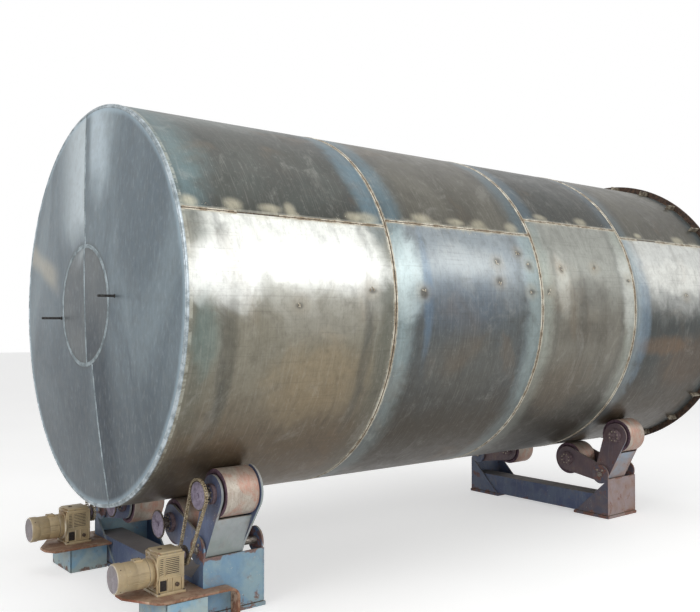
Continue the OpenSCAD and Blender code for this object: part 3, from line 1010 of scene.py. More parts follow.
class StampRule(Rule):
    """Sets one stamp again and again, in equal steps along a path or on loose spots.

    The stamp's Z points out of the surface, as the attribute "out" says, and its X runs along.
    """

    def __init__(self, name: str, walks: bool) -> None:
        """Builds the tree.

        Args:
            name: Name of the tree.
            walks: Whether it walks along a path, or sets stamps on loose spots.
        """
        super().__init__(name, (
            ("Count", "Int", 10), ("Every", "Int", 1), ("Phase", "Int", 0),
            ("Stamp", "Object", None), ("Size", "Vector", (1, 1, 1)), ("Vary", "Float", 0.0),
            ("Turn", "Float", 0.0)))
        given, out = self.given, self.named("out")
        if walks:
            curve = self.get("GeometryNodeMeshToCurve", {"Mesh": given["Geometry"]})
            spots = self.node("GeometryNodeCurveToPoints",
                              {"Curve": curve, "Count": given["Count"]}, mode="COUNT")
            along = Value(self, spots.outputs["Tangent"])
        else:
            spots = self.node("GeometryNodeMeshToPoints", {"Mesh": given["Geometry"]})
            along = self.named("along")
        upright = self.get("FunctionNodeAlignRotationToVector", {"Vector": out}, axis="Z")
        ahead = self.get("FunctionNodeAlignRotationToVector",
                         {"Vector": along, "Rotation": upright}, axis="X", pivot_axis="Z")
        euler = self.get("ShaderNodeCombineXYZ", {"Z": self._stray("Turn", 2)})
        twist = self.get("FunctionNodeEulerToRotation", {0: euler})
        turn = self.get("FunctionNodeRotateRotation", {"Rotation": ahead, "Rotate By": twist},
                        rotation_space="LOCAL")
        size = self.vector("SCALE", given["Size"], self._stray("Vary", 3) + 1.0)
        rest = self.get("FunctionNodeIntegerMath", {
            0: self.get("GeometryNodeInputIndex"), 1: given["Every"]}, operation="MODULO")
        chosen = self.get("FunctionNodeCompare", {2: rest, 3: given["Phase"]},
                          data_type="INT", operation="EQUAL")
        stamp = self.get("GeometryNodeObjectInfo", {"Object": given["Stamp"]}, "Geometry")
        copies = self.get("GeometryNodeInstanceOnPoints", {
            "Points": Value(self, spots.outputs[0]), "Selection": chosen, "Instance": stamp,
            "Rotation": turn, "Scale": size})
        self.close(self.get("GeometryNodeRealizeInstances", {"Geometry": copies}))

    def _stray(self, label: str, salt: int) -> Value:
        """Draws a number from minus to plus an input, apart from the draws of other salts."""
        seed = self.get("FunctionNodeIntegerMath", {0: self.given["Seed"], 1: 7, 2: salt},
                        operation="MULTIPLY_ADD")
        return self.random(seed) * self.given[label]


class BeadRule(Rule):
    """Sweeps a rippled weld bead along a path."""

    def __init__(self) -> None:
        """Builds the tree."""
        super().__init__("bead_along_path", (
            ("Step", "Float", 0.005), ("Radius", "Float", 0.007), ("Ripple", "Float", 0.1),
            ("Period", "Float", 2.4), ("Wander", "Float", 0.0008)))
        given = self.given
        curve = self.get("GeometryNodeMeshToCurve", {"Mesh": given["Geometry"]})
        steps = self.get("GeometryNodeResampleCurve",
                         {"Curve": curve, "Length": given["Step"]}, mode="LENGTH")
        across = self.vector("CROSS_PRODUCT", self.get("GeometryNodeInputTangent"),
                             self.named("out"))
        stray = self.random(given["Seed"] + 500.0) * given["Wander"]
        moved = self.get("GeometryNodeSetPosition",
                         {"Geometry": steps, "Offset": self.vector("SCALE", across, stray)})
        phase = self.get("GeometryNodeInputIndex") / given["Period"] * math.tau
        swell = self.math("SINE", phase) + self.random(given["Seed"] + 300.0)
        radius = (swell * given["Ripple"] + 1.0) * given["Radius"]
        section = self.get("GeometryNodeCurvePrimitiveCircle", {"Resolution": 6, "Radius": 1.0})
        swept = self.get("GeometryNodeCurveToMesh", {
            "Curve": moved, "Profile Curve": section, "Scale": radius, "Fill Caps": True})
        self.close(swept)


@dataclass
class Track:
    """Points on a surface, each with the way out of it and the way along."""

    points: list[Vector] = field(default_factory=list)
    outs: list[Vector] = field(default_factory=list)
    alongs: list[Vector] = field(default_factory=list)
    closed: bool = False

    @classmethod
    def through(cls, steps: int, place: Callable[[float], Spot],
                closed: bool = False) -> "Track":
        """Lays a track in equal steps.

        Args:
            steps: Number of steps.
            place: Gives the point and the way out for a share of the way, 0 to 1.
            closed: Whether it ends where it starts.

        Returns:
            The track.
        """
        track = cls(closed=closed)
        for i in range(steps if closed else steps + 1):
            track.add(*place(i / steps))
        return track

    def add(self, point: Sequence[float], out: Sequence[float],
            along: Sequence[float] = (1, 0, 0)) -> "Track":
        """Adds a point.

        Args:
            point: Its place.
            out: Way out of the surface.
            along: Way along.

        Returns:
            The track.
        """
        self.points.append(Vector(point))
        self.outs.append(Vector(out).normalized())
        self.alongs.append(Vector(along))
        return self

    @property
    def length(self) -> float:
        """Its length."""
        points = self.points + self.points[:1] if self.closed else self.points
        return sum((b - a).length for a, b in zip(points, points[1:]))

    def mesh(self, path: bool) -> Mesh:
        """Gives the mesh that a rule starts from.

        Args:
            path: Whether the points are joined into a path.

        Returns:
            The mesh.
        """
        count = len(self.points)
        edges = [(i, i + 1) for i in range(count - 1)] if path else []
        if path and self.closed:
            edges.append((count - 1, 0))
        data = bpy.data.meshes.new("track")
        data.from_pydata([tuple(p) for p in self.points], edges, [])
        for label, rows in (("out", self.outs), ("along", self.alongs)):
            kept = data.attributes.new(label, "FLOAT_VECTOR", "POINT")
            kept.data.foreach_set("vector", [c for row in rows for c in row])
        return data


class Stamps:
    """The small shapes that rules repeat, and the rules themselves."""

    def __init__(self) -> None:
        """Makes the stamps and the rules."""
        self.made: list[Piece] = []
        self.walk = StampRule("stamps_along_path", True)
        self.spot = StampRule("stamps_on_spots", False)
        self.sweep = BeadRule()
        rings = {"ripple": (8, (-0.3, 0), (-0.3, 0.9), (0, 1), (0.6, 0.72), (1, 0)),
                 "drop": (6, (-0.4, 0), (-0.4, 0.9), (0.2, 1), (0.8, 0.6), (1, 0)),
                 "screw": (12, (0, 0), (0, 1), (0.35, 1), (0.6, 0.75), (0.6, 0.45), (0.3, 0.4),
                           (0.3, 0))}
        self.ripple, self.drop, self.screw = (
            self.keep(name, Shape().turned((0, 0, 0), profile, 2, steps))
            for name, (steps, *profile) in rings.items())
        self.bolt = self.keep("bolt", self._bolt(True))
        self.stud = self.keep("stud", self._bolt(False))

    def _bolt(self, head: bool) -> Shape:
        """Draws a bolt of thread radius 1: a washer, a hexagon and, on a stud, its end.

        Args:
            head: Whether it is a bolt's head or a nut on a stud.

        Returns:
            The shape.
        """
        parts = [(20, (0, 0), (0, 2.1), (0.3, 2.1), (0.36, 2.0), (0.36, 0)),
                 (6, (0.36, 0), (0.36, 1.62), (0.5, 1.76), (1.5, 1.76), (1.64, 1.6), (1.64, 0))]
        if not head:
            parts.append((12, (1.6, 0), (1.6, 1), (2.5, 1), (2.7, 0.8), (2.7, 0)))
        shape = Shape()
        for steps, *profile in parts:
            shape.turned((0, 0, 0), profile, 2, steps)
        return shape

    def keep(self, name: str, shape: Shape) -> Piece:
        """Makes a stamp from a shape.

        Args:
            name: Name of the stamp.
            shape: Its faces.

        Returns:
            The stamp.
        """
        stamp = placed(f"stamp_{name}", shape.data(f"stamp_{name}"))
        self.made.append(stamp)
        return stamp

    def clear(self) -> None:
        """Takes the stamps out of the scene once all is baked."""
        for stamp in self.made:
            bpy.data.objects.remove(stamp)
        self.made.clear()

    def row(self, track: Track, step: float, size: Point, material: str, seed: int) -> Mesh:
        """Walks a weld ripple along a track.

        Args:
            track: The track.
            step: Distance from one ripple to the next.
            size: Scale of the ripple.
            material: Name of its material.
            seed: Seed of what varies.

        Returns:
            The mesh.
        """
        return self.walk.bake(track.mesh(True), Count=max(2, round(track.length / step)),
                              Stamp=self.ripple, Size=size, Vary=0.16, Turn=0.25, Seed=seed,
                              Material=paint(material))

    def bead(self, track: Track, radius: float, material: str, seed: int) -> Mesh:
        """Sweeps a weld bead along a track, which is the bead's middle."""
        return self.sweep.bake(track.mesh(True), Radius=radius, Seed=seed,
                               Material=paint(material))

    def spots(self, track: Track, size: float | Point, material: str,
              stamp: Piece | None = None, seed: int = 0, vary: float = 0.0,
              turn: float = 0.6) -> Mesh:
        """Sets a stamp on each point of a track.

        Args:
            track: The points.
            size: Scale of the stamp.
            material: Name of its material.
            stamp: The stamp, a bolt unless it is named.
            seed: Seed of what varies.
            vary: Share by which sizes vary.
            turn: Angle by which they turn, in radians.

        Returns:
            The mesh.
        """
        return self.spot.bake(track.mesh(False), Stamp=stamp or self.bolt,
                              Size=size if isinstance(size, tuple) else (size,) * 3,
                              Seed=seed, Vary=vary, Turn=turn, Material=paint(material))


def gathered(name: str, meshes: Sequence[Mesh]) -> Mesh:
    """Puts several meshes with their materials into one.

    Args:
        name: Name of the mesh.
        meshes: The meshes, which are used up.

    Returns:
        The mesh.
    """
    whole = bmesh.new()
    slots: list[Material] = []
    for data in meshes:
        before = len(whole.faces)
        whole.from_mesh(data)
        whole.faces.ensure_lookup_table()
        for face in whole.faces[before:]:
            material = data.materials[face.material_index]
            if material not in slots:
                slots.append(material)
            face.material_index = slots.index(material)
        bpy.data.meshes.remove(data)
    result = bpy.data.meshes.new(name)
    whole.to_mesh(result)
    whole.free()
    for material in slots:
        result.materials.append(material)
    return result


def spun(centre: Pair, r: float, turn: float) -> Pair:
    """Finds the point of a circle at an angle, in radians."""
    return centre[0] + r * math.cos(turn), centre[1] + r * math.sin(turn)


def angles(count: int, first: float = 0.0) -> list[float]:
    """Shares a full turn into equal angles in radians, from a first one in degrees."""
    return [math.radians(first + 360 / count * i) for i in range(count)]


LUGS = ((3.512, 2.102), (3.996, 2.12), (4.535, 2.097), (3.496, 2.368), (3.759, 2.361),
        (2.136, 2.399), (1.58, 2.389), (3.395, 1.99), (3.083, 2.103), (3.08, 2.287),
        (0.9, 2.52), (5.1, 2.2), (6.2, 2.35))
BURNS = ((0, 0.08), (0, 0.42), (0, 0.74), (0, 0.91), (0, 1.5), (0, 1.65), (1, 0.45),
         (1, 0.86), (1, 1.15), (1, 1.6), (2, 0.3), (2, 0.95), (3, 0.4), (3, 1.2))
# The first colour paints highlights on the shell.
HIGHLIGHT_SILVER, SOOT = "e8eae6", "464440"
COURSES = (
    CourseSteel(
        0, "e8eae4", "827e70", "625544", "444844", "3a3c38",
        "585c54", "52666c", 0.24, 0.45, (
            # Painted highlights below the near seam.
            Stain(1.2, 2.2, 0.6, 0.22, HIGHLIGHT_SILVER, 0.8, 0.35),
            Stain(0.3, 2.3, 0.32, 0.24, HIGHLIGHT_SILVER, 0.8, 0.35),
            Stain(0.62, 2.42, 0.06, 0.12, "96968e", 0.5),
            Stain(1.15, 2.6, 0.5, 0.2, "a4a298", 0.45),
            Stain(1.15, 3.1, 0.42, 0.32, "928062", 0.5),
            Stain(0.34, 2.95, 0.05, 0.5, "4a4a44", 0.55),
            Stain(1.55, 2.95, 0.05, 0.45, "54544e", 0.5),
            Stain(0.14, 2.75, 0.1, 0.26, "70827e", 0.55),
            Stain(0.12, 1.1, 0.2, 0.7, "5e7070", 0.5, 0.6),
            Stain(1.72, 1.3, 0.12, 0.6, "607a88", 0.55),
            Stain(0.95, 1.0, 0.45, 0.35, "50524c", 0.4),
            Stain(0.75, 0.5, 0.5, 0.3, "7c8482", 0.35))),
    CourseSteel(
        1, "8e979c", "585d5e", "3e372c", "605e55", "504e46",
        "98aaac", "5a6c74", 0.24, 0.25, (
            Stain(0.14, 2.25, 0.18, 0.36, "c8d6d6", 0.65, 0.4),
            Stain(0.36, 2.45, 0.05, 0.5, "68829a", 0.5),
            # Painted highlight below the near seam.
            Stain(0.86, 2.12, 0.42, 0.16, "b4babb", 0.55),
            Stain(1.74, 2.6, 0.08, 0.7, "848e8c", 0.5),
            Stain(0.8, 2.5, 0.5, 0.25, "566576", 0.45, 0.6),
            Stain(0.9, 3.0, 0.5, 0.3, "5c584e", 0.4),
            Stain(0.31, 2.4, 0.04, 0.04, SOOT, 0.6),
            Stain(0.1, 1.2, 0.1, 0.7, "546c76", 0.45))),
    CourseSteel(
        2, "969891", "767369", "322e24", "3a3d3a", "343530",
        "9ea59c", "4e5c64", 0.2, 0.25, (
            # Painted highlights below the near seam.
            Stain(1.42, 2.3, 0.12, 0.4, "ced0ca", 0.6),
            Stain(0.34, 2.26, 0.1, 0.26, "cccec6", 0.5),
            Stain(0.64, 2.7, 0.07, 0.5, "545048", 0.45),
            Stain(0.98, 2.9, 0.09, 0.6, "5c584f", 0.35),
            Stain(0.75, 2.35, 0.3, 0.14, "5c5a54", 0.45),
            Stain(0.7, 2.75, 0.35, 0.12, "56524a", 0.4),
            Stain(0.45, 3.3, 0.4, 0.3, "605240", 0.4),
            Stain(0.1, 1.2, 0.1, 0.7, "546874", 0.4))),
    CourseSteel(
        3, "c8cac6", "3c4140", "3a3123", "545248", "48463e",
        "92a0a6", "5c686c", 0.2, 0.25, (
            Stain(0.2, 2.6, 0.1, 0.6, "7a90a2", 0.55),
            # Painted highlight below the near seam.
            Stain(0.9, 2.14, 0.6, 0.18, "dcddd7", 0.72, 0.35),
            Stain(0.66, 2.9, 0.5, 0.1, "7e6042", 0.4),
            Stain(1.2, 3.1, 0.5, 0.3, "685038", 0.4))),
)


@dataclass
class Tank:
    """The tank: shell, ends, welds and small parts that turn together."""

    stamps: Stamps
    body: str = "tank"
    slot: str = "weld_metal"
    clips: int = 24
    spatter: int = 900
    peg_r: float = 0.01

    def on_shell(self, x: float, around: float, out: float = 0.0) -> Spot:
        """Finds a place on the shell.

        Args:
            x: Distance from the front end.
            around: Arc from the top towards the near side.
            out: Height over the shell.

        Returns:
            The place and the way out.
        """
        turn = around / TANK.radius
        way = (0.0, -math.sin(turn), math.cos(turn))
        r = TANK.radius + out
        return (TANK.front + x, r * way[1], TANK.axis + r * way[2]), way

    def on_end(self, rear: bool, y: float, up: float, out: float = 0.0) -> Spot:
        """Finds a place on an end.

        Args:
            rear: Whether it is the rear end.
            y: Place across the tank.
            up: Height over the axis.
            out: Height over the plate.

        Returns:
            The place and the way out.
        """
        high = TANK.dish(math.hypot(y, up)) + out
        x = TANK.front + TANK.starts[4] + high if rear else TANK.front - high
        return (x, y, TANK.axis + up), (1 if rear else -1, 0, 0)

    def on_seam(self, rear: bool, tilt: float, across: float, along: float) -> Spot:
        """Finds a place just below the face of an end, beside one of its leaning seams.

        Args:
            rear: Whether it is the rear end.
            tilt: Angle by which the seam leans, in radians.
            across: Distance from the axis, square to the seam.
            along: Distance from there along the seam.

        Returns:
            The place and the way out.
        """
        y = math.cos(tilt) * across + math.sin(tilt) * along
        up = math.cos(tilt) * along - math.sin(tilt) * across
        return self.on_end(rear, y, up, -0.0034 - 0.0015 * rear)

    def make(self) -> None:
        """Makes the whole tank."""
        self.courses()
        for node, material in (
                ("front_end_plates", "front_plate_steel"), ("front_end_disc", "front_disc_steel"),
                ("rear_end_plates", "rear_plate_steel"), ("rear_end_disc", "rear_disc_steel"),
                ("girth_welds", "weld_core"), ("seam_welds", "weld_core"),
                ("rim_welds", "weld_rim_bead"), ("front_end_welds", "weld_end_bead"),
                ("rear_end_welds", "weld_end_bead"), ("rear_ring", "ring_bar"),
                ("rear_clips", "clip_bar")):
            dress(node, paint(material))
        self.girths()
        self.seams()
        self.rims()
        self.ends()
        draw = random.Random(11)
        self.scars(draw)
        self.drops(draw)
        self.ring_tacks()
        self.pegs()

    def courses(self) -> None:
        """Gives each course its steel, with the stains that burns and cut-off lugs left."""
        marks = tuple([] for _ in COURSES)
        draw = random.Random(3)
        for course, along in BURNS:
            marks[course].append(Stain(
                along, TANK.near_seam(course) - 0.06, draw.uniform(0.045, 0.1),
                draw.uniform(0.03, 0.06), "c8c2aa", 0.55, 0.7))
        for x, around in LUGS:
            course = max(i for i in range(4) if TANK.starts[i] <= x)
            along = x - TANK.starts[course]
            marks[course].append(Stain(along, around, 0.085, 0.07, "968c7a", 0.35, 0.6))
            marks[course].append(Stain(
                along + draw.uniform(-0.015, 0.015), around + draw.uniform(-0.015, 0.015),
                draw.uniform(0.016, 0.046), draw.uniform(0.016, 0.036), SOOT, 0.7, 0.7))
        for look, added in zip(COURSES, marks):
            number = look.course + 1
            steel = replace(look, stains=(*look.stains, *added))
            dress(f"shell_course_{number}", steel.material(f"shell_steel_{number}"))

    def beads(self, name: str, runs: Iterable[tuple[Track, float, str, int]]) -> None:
        """Sweeps weld beads along their tracks and makes one piece of them.

        Args:
            name: Name of the piece.
            runs: Track, radius, material and seed of each bead.
        """
        rows = [self.stamps.bead(*run) for run in runs]
        settle(name, gathered(name, rows), self.body, sharp=60)

    def girths(self) -> None:
        """Lays two beads on each weld round the tank."""
        self.beads("girth_beads", (
            (Track.through(240, lambda share: self.on_shell(
                TANK.starts[number] + side * 0.0115, TANK.radius * math.tau * share, -0.0048),
                True), 0.0088, "weld_bead", number * 2 + side)
            for number, side in product((1, 2, 3), (-1, 1))))

    def seams(self) -> None:
        """Lays beads along the long seams, but not where the rollers run."""
        runs = []
        for course in range(4):
            stretches = [(TANK.starts[course] + 0.014, TANK.starts[course + 1] - 0.014)]
            for low, high in ROLLED:
                stretches = [part for a, b in stretches for part in (
                    ((a, min(b, low)), (max(a, high), b)) if a < high and b > low else ((a, b),))
                    if part[1] - part[0] > 0.02]
            for seam, (a, b), side in product(
                    (TANK.near_seam(course), -TANK.far_seam(course)), stretches, (-1, 1)):
                track = Track.through(20, lambda share: self.on_shell(
                    a + (b - a) * share, seam + side * 0.0085, -0.0044))
                runs.append((track, 0.0074, "weld_bead", course * 7 + side + 40))
        self.beads("seam_beads", runs)

    def rims(self) -> None:
        """Lays beads round both rims, on the shell's side and on the end's side."""
        runs = []
        r = TANK.radius - TANK.end_t - 0.008
        for rear in (False, True):
            x = TANK.starts[4] + 0.001 if rear else -0.001
            runs.append((Track.through(240, lambda share: self.on_shell(
                x, TANK.radius * math.tau * share, -0.0046), True),
                0.008, "weld_rim_bead", rear * 2 + 60))
            runs.append((Track.through(240, lambda share: self.on_end(
                rear, -r * math.sin(math.tau * share), r * math.cos(math.tau * share), -0.0038),
                True), 0.0092, "weld_rim_bead", rear * 2 + 61))
        self.beads("rim_beads", runs)

    def ends(self) -> None:
        """Lays beads on the seams of both ends."""
        runs = []
        for rear in (False, True):
            for lean, away, low, high in ((9.3, -0.09, TANK.disc + 0.018, 1.57),
                                          (4.5, -0.024, 0.0, TANK.disc - 0.018)):
                tilt = 0.0 if rear else math.radians(lean)
                for sign, side in product((-1, 1), (-0.0062, 0.0062)):
                    start, stop = (sign * math.sqrt(max(r ** 2 - away ** 2, 0.0))
                                   for r in (low, high))
                    track = Track.through(24, lambda share: self.on_seam(
                        rear, tilt, away + side, start + (stop - start) * share))
                    runs.append((track, 0.006, "weld_end_bead", rear * 9 + sign + 80))
            for side in (-0.0092, 0.0092):
                track = Track.through(120, lambda share: self.on_end(
                    rear, *spun((0, 0), TANK.disc + side, math.tau * share), -0.004), True)
                runs.append((track, 0.0078, "weld_end_bead", rear + 95))
        self.beads("end_beads", runs)

    def scars(self, draw: random.Random) -> None:
        """Sets the stubs of cut-off lugs.

        Args:
            draw: Draws what varies.
        """
        lugs = Shape()
        for x, around in LUGS:
            (px, py, pz), way = self.on_shell(x, around)
            upright = Matrix.Rotation(math.atan2(-way[1], way[2]), 4, "X")
            for _ in range(3):
                bar = Shape().block((-0.004, -0.011, -0.002), (0.004, 0.011, 0.0032), 0.0015)
                lugs.join(bar, Matrix.Translation((px + draw.uniform(-0.02, 0.02), py, pz))
                          @ upright @ Matrix.Translation((0, draw.uniform(-0.02, 0.02), 0))
                          @ Matrix.Rotation(draw.uniform(0, 3), 4, "Z"))
        lugs.piece("lug_scars", self.body, self.slot, ["weld_bead"])

    def drops(self, draw: random.Random) -> None:
        """Scatters spatter beside the welds, but not where the rollers run.

        Args:
            draw: Draws what varies.
        """
        spots = Track()
        for _ in range(self.spatter):
            course = draw.randrange(4)
            if draw.random() < 0.45:
                x = TANK.starts[draw.randrange(1, 4)] + draw.choice((-1, 1)) * draw.uniform(
                    0.02, 0.07)
                around = draw.uniform(0, math.tau) * TANK.radius
            else:
                x = draw.uniform(TANK.starts[course] + 0.03, TANK.starts[course + 1] - 0.03)
                around = draw.choice((TANK.near_seam(course), -TANK.far_seam(course)))
                around += draw.choice((-1, 1)) * draw.uniform(0.018, 0.06)
            if not any(low < x < high for low, high in ROLLED):
                spots.add(*self.on_shell(x, around))
        data = self.stamps.spots(spots, (0.0022, 0.0022, 0.0016), "weld_bead",
                                 self.stamps.drop, 5, 0.45, 3.0)
        settle("spatter_beads", data, self.body)

    def ring_tacks(self) -> None:
        """Lays short weld beads where the clips meet the ring and the shell."""
        rows = []
        start = TANK.starts[4] - 0.016 - 0.165
        for i, side in product(range(self.clips), (-1, 1)):
            turn = (i + 0.5) * math.tau / self.clips
            around = -(turn - math.pi / 2) * TANK.radius + side * 0.0085
            track = Track.through(4, lambda share: self.on_shell(
                start + 0.16 * share, around, 0.0004))
            rows.append(self.stamps.row(track, 0.012, (0.0075, 0.0042, 0.004), "weld_core",
                                        i + 120))
        settle("clip_beads", gathered("clip_beads", rows), self.body)

    def pegs(self) -> None:
        """Turns the two pegs with their chamfered tips and fillet beads."""
        bars, rows, r = Shape(), [], self.peg_r
        for angle, reach, long in ((264, 0.587, 0.13), (79, 0.525, 0.165)):
            turn = math.radians(angle)
            y, up = reach * math.sin(turn), -reach * math.cos(turn)
            (x, _, z), way = self.on_end(False, y, up)
            bars.turned((x, y, z), [(-long, 0.0), (-long, r - 0.002), (0.003 - long, r),
                                    (0.0005, r), (0.0005, 0.0)], 0, 28)
            ring = Track.through(20, lambda share: (
                (x, *spun((y, z), r + 0.0018, math.tau * share)), way), True)
            rows.append(self.stamps.row(ring, 0.008, (0.0058, 0.0044, 0.0042), "peg_bar", angle))
        bars.piece("front_pegs", self.body, "peg_steel", ["peg_bar"], ("front_end_pegs",))
        settle("peg_beads", gathered("peg_beads", rows), self.body)


def soften(node: str, width: float) -> None:
    """Rounds the sharp edges of a node as it is drawn.

    Args:
        node: Name of the node.
        width: Size of the rounding.
    """
    body = bpy.data.objects[node]
    body.modifiers.new("weld", "WELD").merge_threshold = 1e-5
    bevel = body.modifiers.new("edges", "BEVEL")
    bevel.width = width
    bevel.segments = 2
    bevel.limit_method = "ANGLE"
    bevel.angle_limit = math.radians(50)
    bevel.harden_normals = True


def under(reach: float, angle: float) -> Pair:
    """Finds a centre below the tank on the near side, from its distance to the tank's axis."""
    turn = math.radians(angle)
    return -reach * math.sin(turn), TANK.axis - reach * math.cos(turn)


@dataclass(frozen=True)
class StandSizes:
    """Sizes of a stand, as in the part's source, with x from the front side of its bracket."""

    outer: Pair = under(1.7803, 38.5)
    inner: Pair = under(1.7803, 15.0)
    pivot: Pair = under(2.06, 26.75)
    pivot_r: float = 0.092
    eye_r: float = 0.138
    roller_x: Pair = (0.05, 0.325)
    roller_r: float = 0.18
    shaft_r: float = 0.035
    shaft_end: float = 0.365
    chain_x: float = -0.088
    pitch_r: float = 0.118
    small_r: float = 0.074
    drive: Pair = (-0.90026, 0.465)
    face_y: float = -1.0302
    foot_top: float = 0.0312
    bracket_l: float = 0.525
    bracket_top: float = 0.44

    @property
    def edge(self) -> float:
        """Way out of a rocker's outer edge, which touches both its eyes, in radians."""
        (py, pz), (cy, cz) = self.pivot, self.outer
        lean = math.acos((self.pivot_r - self.eye_r) / math.hypot(cy - py, cz - pz))
        return math.atan2(cz - pz, cy - py) + lean

    def beside(self, out: float, along: float) -> Pair:
        """Finds a point by its distances from the rocker's pin, out of the edge and along it."""
        c, s = math.cos(self.edge), math.sin(self.edge)
        return self.pivot[0] + out * c + along * s, self.pivot[1] + out * s - along * c


STAND = StandSizes()


def teeth(centre: Pair, count: int, root: float, tip: float) -> list[Pair]:
    """Draws a toothed outline, from its middle and the radii of its roots and tips."""
    return [spun(centre, r, math.tau * (i + share) / count) for i in range(count)
            for share, r in ((0.0, root), (0.22, root), (0.38, tip), (0.62, tip), (0.78, root))]


@dataclass
class Stand:
    """One stand: brackets, beam, rockers and four rollers."""

    stamps: Stamps
    word: str
    x: float

    @property
    def driven(self) -> bool:
        """Whether a chain drives its outer rollers."""
        return self.word == "drive"

    @property
    def cap(self) -> str:
        """The paint of its bearing covers."""
        return "bearing_cap_blue" if self.driven else "bearing_cap"

    def make(self) -> None:
        """Makes the stand."""
        word = self.word
        far = "" if self.driven else "_far"
        for node, material in (
                ("bracket_near", f"{word}_bracket"), ("bracket_far", f"{word}_bracket{far}"),
                ("rocker_near", f"{word}_rocker"), ("rocker_far", f"{word}_rocker"),
                ("beam", "beam")):
            dress(f"{word}_{node}", paint(f"{material}_paint"))
        for side in Side:
            self.roller(side, "outer", STAND.outer)
            self.roller(side, "inner", STAND.inner)
            self.covers(side)
            if self.driven:
                self.lips(side)
            self.caps(side)
            self.pin_ends(side)
            self.bracket_parts(side)

    def roller(self, side: Side, place: str, centre: Pair) -> None:
        """Turns one roller with its shaft, and its sprocket where it has one.

        Args:
            side: Side of the tank.
            place: Outer or inner.
            centre: Its axis on the near side.
        """
        x0, x1 = STAND.roller_x
        s0, s1 = STAND.chain_x - 0.004 if self.driven else 0.01, STAND.shaft_end
        shaft, r = STAND.shaft_r, STAND.roller_r
        half = [(x0, shaft), (x0, 0.06), (x0 + 0.003, 0.063), (x0 + 0.018, 0.066),
                (x0 + 0.018, 0.146), (x0 + 0.003, 0.15), (x0, 0.153), (x0, r - 0.005),
                (x0 + 0.002, r - 0.0016), (x0 + 0.006, r)]
        kinds = [0, *[1] * 7, 2]
        back = [(x0 + x1 - x, radius) for x, radius in reversed(half)]
        profile = [(s0, 0.0), (s0, shaft - 0.004), (s0 + 0.004, shaft), *half, *back,
                   (s1 - 0.004, shaft), (s1, shaft - 0.004), (s1, 0.0)]
        shape = Shape().turned((self.x, *centre), profile, 0, 72,
                               faces=[0, 0, 0, *kinds, 2, *reversed(kinds), 0, 0, 0])
        if self.driven:
            plane = self.x + STAND.chain_x
            shape.prism(teeth(centre, 39, 0.105, 0.111), plane - 0.0055, plane + 0.0055,
                        material=3)
            for steps, *rings in (
                    (56, (-0.0068, 0.0), (-0.0068, 0.099), (-0.005, 0.101), (-0.005, 0.0)),
                    (24, (-0.0138, 0.0), (-0.0138, 0.018), (-0.012, 0.02), (-0.006, 0.02),
                     (-0.006, 0.0)),
                    (40, (0.004, 0.0), (0.004, 0.055), (0.016, 0.055), (0.018, 0.052),
                     (0.018, 0.0))):
                shape.turned((plane, *centre), rings, 0, steps, 4)
        name = f"{self.word}_roller_{side.word}_{place}"
        shape.on(side).piece(f"{name}_drum", name, "roller_steel", [
            "shaft_steel", "drum_side", f"tread_{self.word}_{place}_{side.word}",
            "sprocket_teeth", "sprocket_face", "bolt_dark"], (name,))

    def covers(self, side: Side) -> None:
        """Carries the cover below the outer roller up to just below the drum.

        Args:
            side: Side of the tank.
        """
        outline = [STAND.beside(*spot) for spot in (
            (0.0792, 0.244), (0.091, 0.244), (0.091, 0.33), (0.088, 0.334),
            (0.0792, 0.334), (0.0792, 0.268), (-0.1, 0.268), (-0.1, 0.26),
            (0.0792, 0.26))]
        plate = Shape().prism(outline, self.x + 0.0434, self.x + 0.3316)
        plate.on(side).piece(f"{self.word}_roller_cover_{side.word}", "stands",
                             f"{self.word}_rocker_paint", [f"{self.word}_rocker_paint"])

    def lips(self, side: Side) -> None:
        """Widens the rear plate of a rocker outwards, so that its edge shows past the drum.

        Args:
            side: Side of the tank.
        """
        cy, cz = STAND.outer
        start = math.atan2(TANK.axis - cz, -cy) + math.radians(32)
        turns = [start + (STAND.edge - start) * i / 32 for i in range(33)]
        outer = [spun(STAND.outer, 0.1395 + 0.0515 * min(i / 3, 1.0), turn)
                 for i, turn in enumerate(turns)]
        inner = [spun(STAND.outer, 0.139, turn) for turn in reversed(turns)]
        lip = Shape().prism([*outer, STAND.beside(0.093, 0.09), *inner], self.x + 0.3325,
                            self.x + 0.3495, 0, 0.001)
        lip.on(side).piece(f"{self.word}_rocker_lip_{side.word}", "stands",
                           f"{self.word}_rocker_paint", ["drive_rocker_paint"])

    def caps(self, side: Side) -> None:
        """Bolts covers on the bearing housings.

        Args:
            side: Side of the tank.
        """
        covers, bolts = Shape(), Track()
        for centre, (x, way) in product((STAND.outer, STAND.inner), ((-0.005, -1), (0.38, 1))):
            hole = 0.04 if self.driven and way < 0 else 0.0
            profile = [(0.0, hole), (0.0, 0.064), (way * 0.004, 0.064), (way * 0.0065, 0.0615),
                       (way * 0.0065, hole)]
            if hole:
                profile.append(profile[0])
            covers.turned((self.x + x, *centre), profile, 0, 40)
            for turn in angles(8, 22.5):
                bolts.add(side.at(self.x + x + way * 0.0065, *spun(centre, 0.051, turn)),
                          (way, 0, 0), (0, 0, 1))
        covers.on(side).piece(f"{self.word}_bearing_covers_{side.word}", "stands",
                              "housing_paint", [self.cap])
        data = self.stamps.spots(bolts, (0.0034, 0.0034, 0.003), "bolt_zinc")
        settle(f"{self.word}_bearing_bolts_{side.word}", data, "stands")

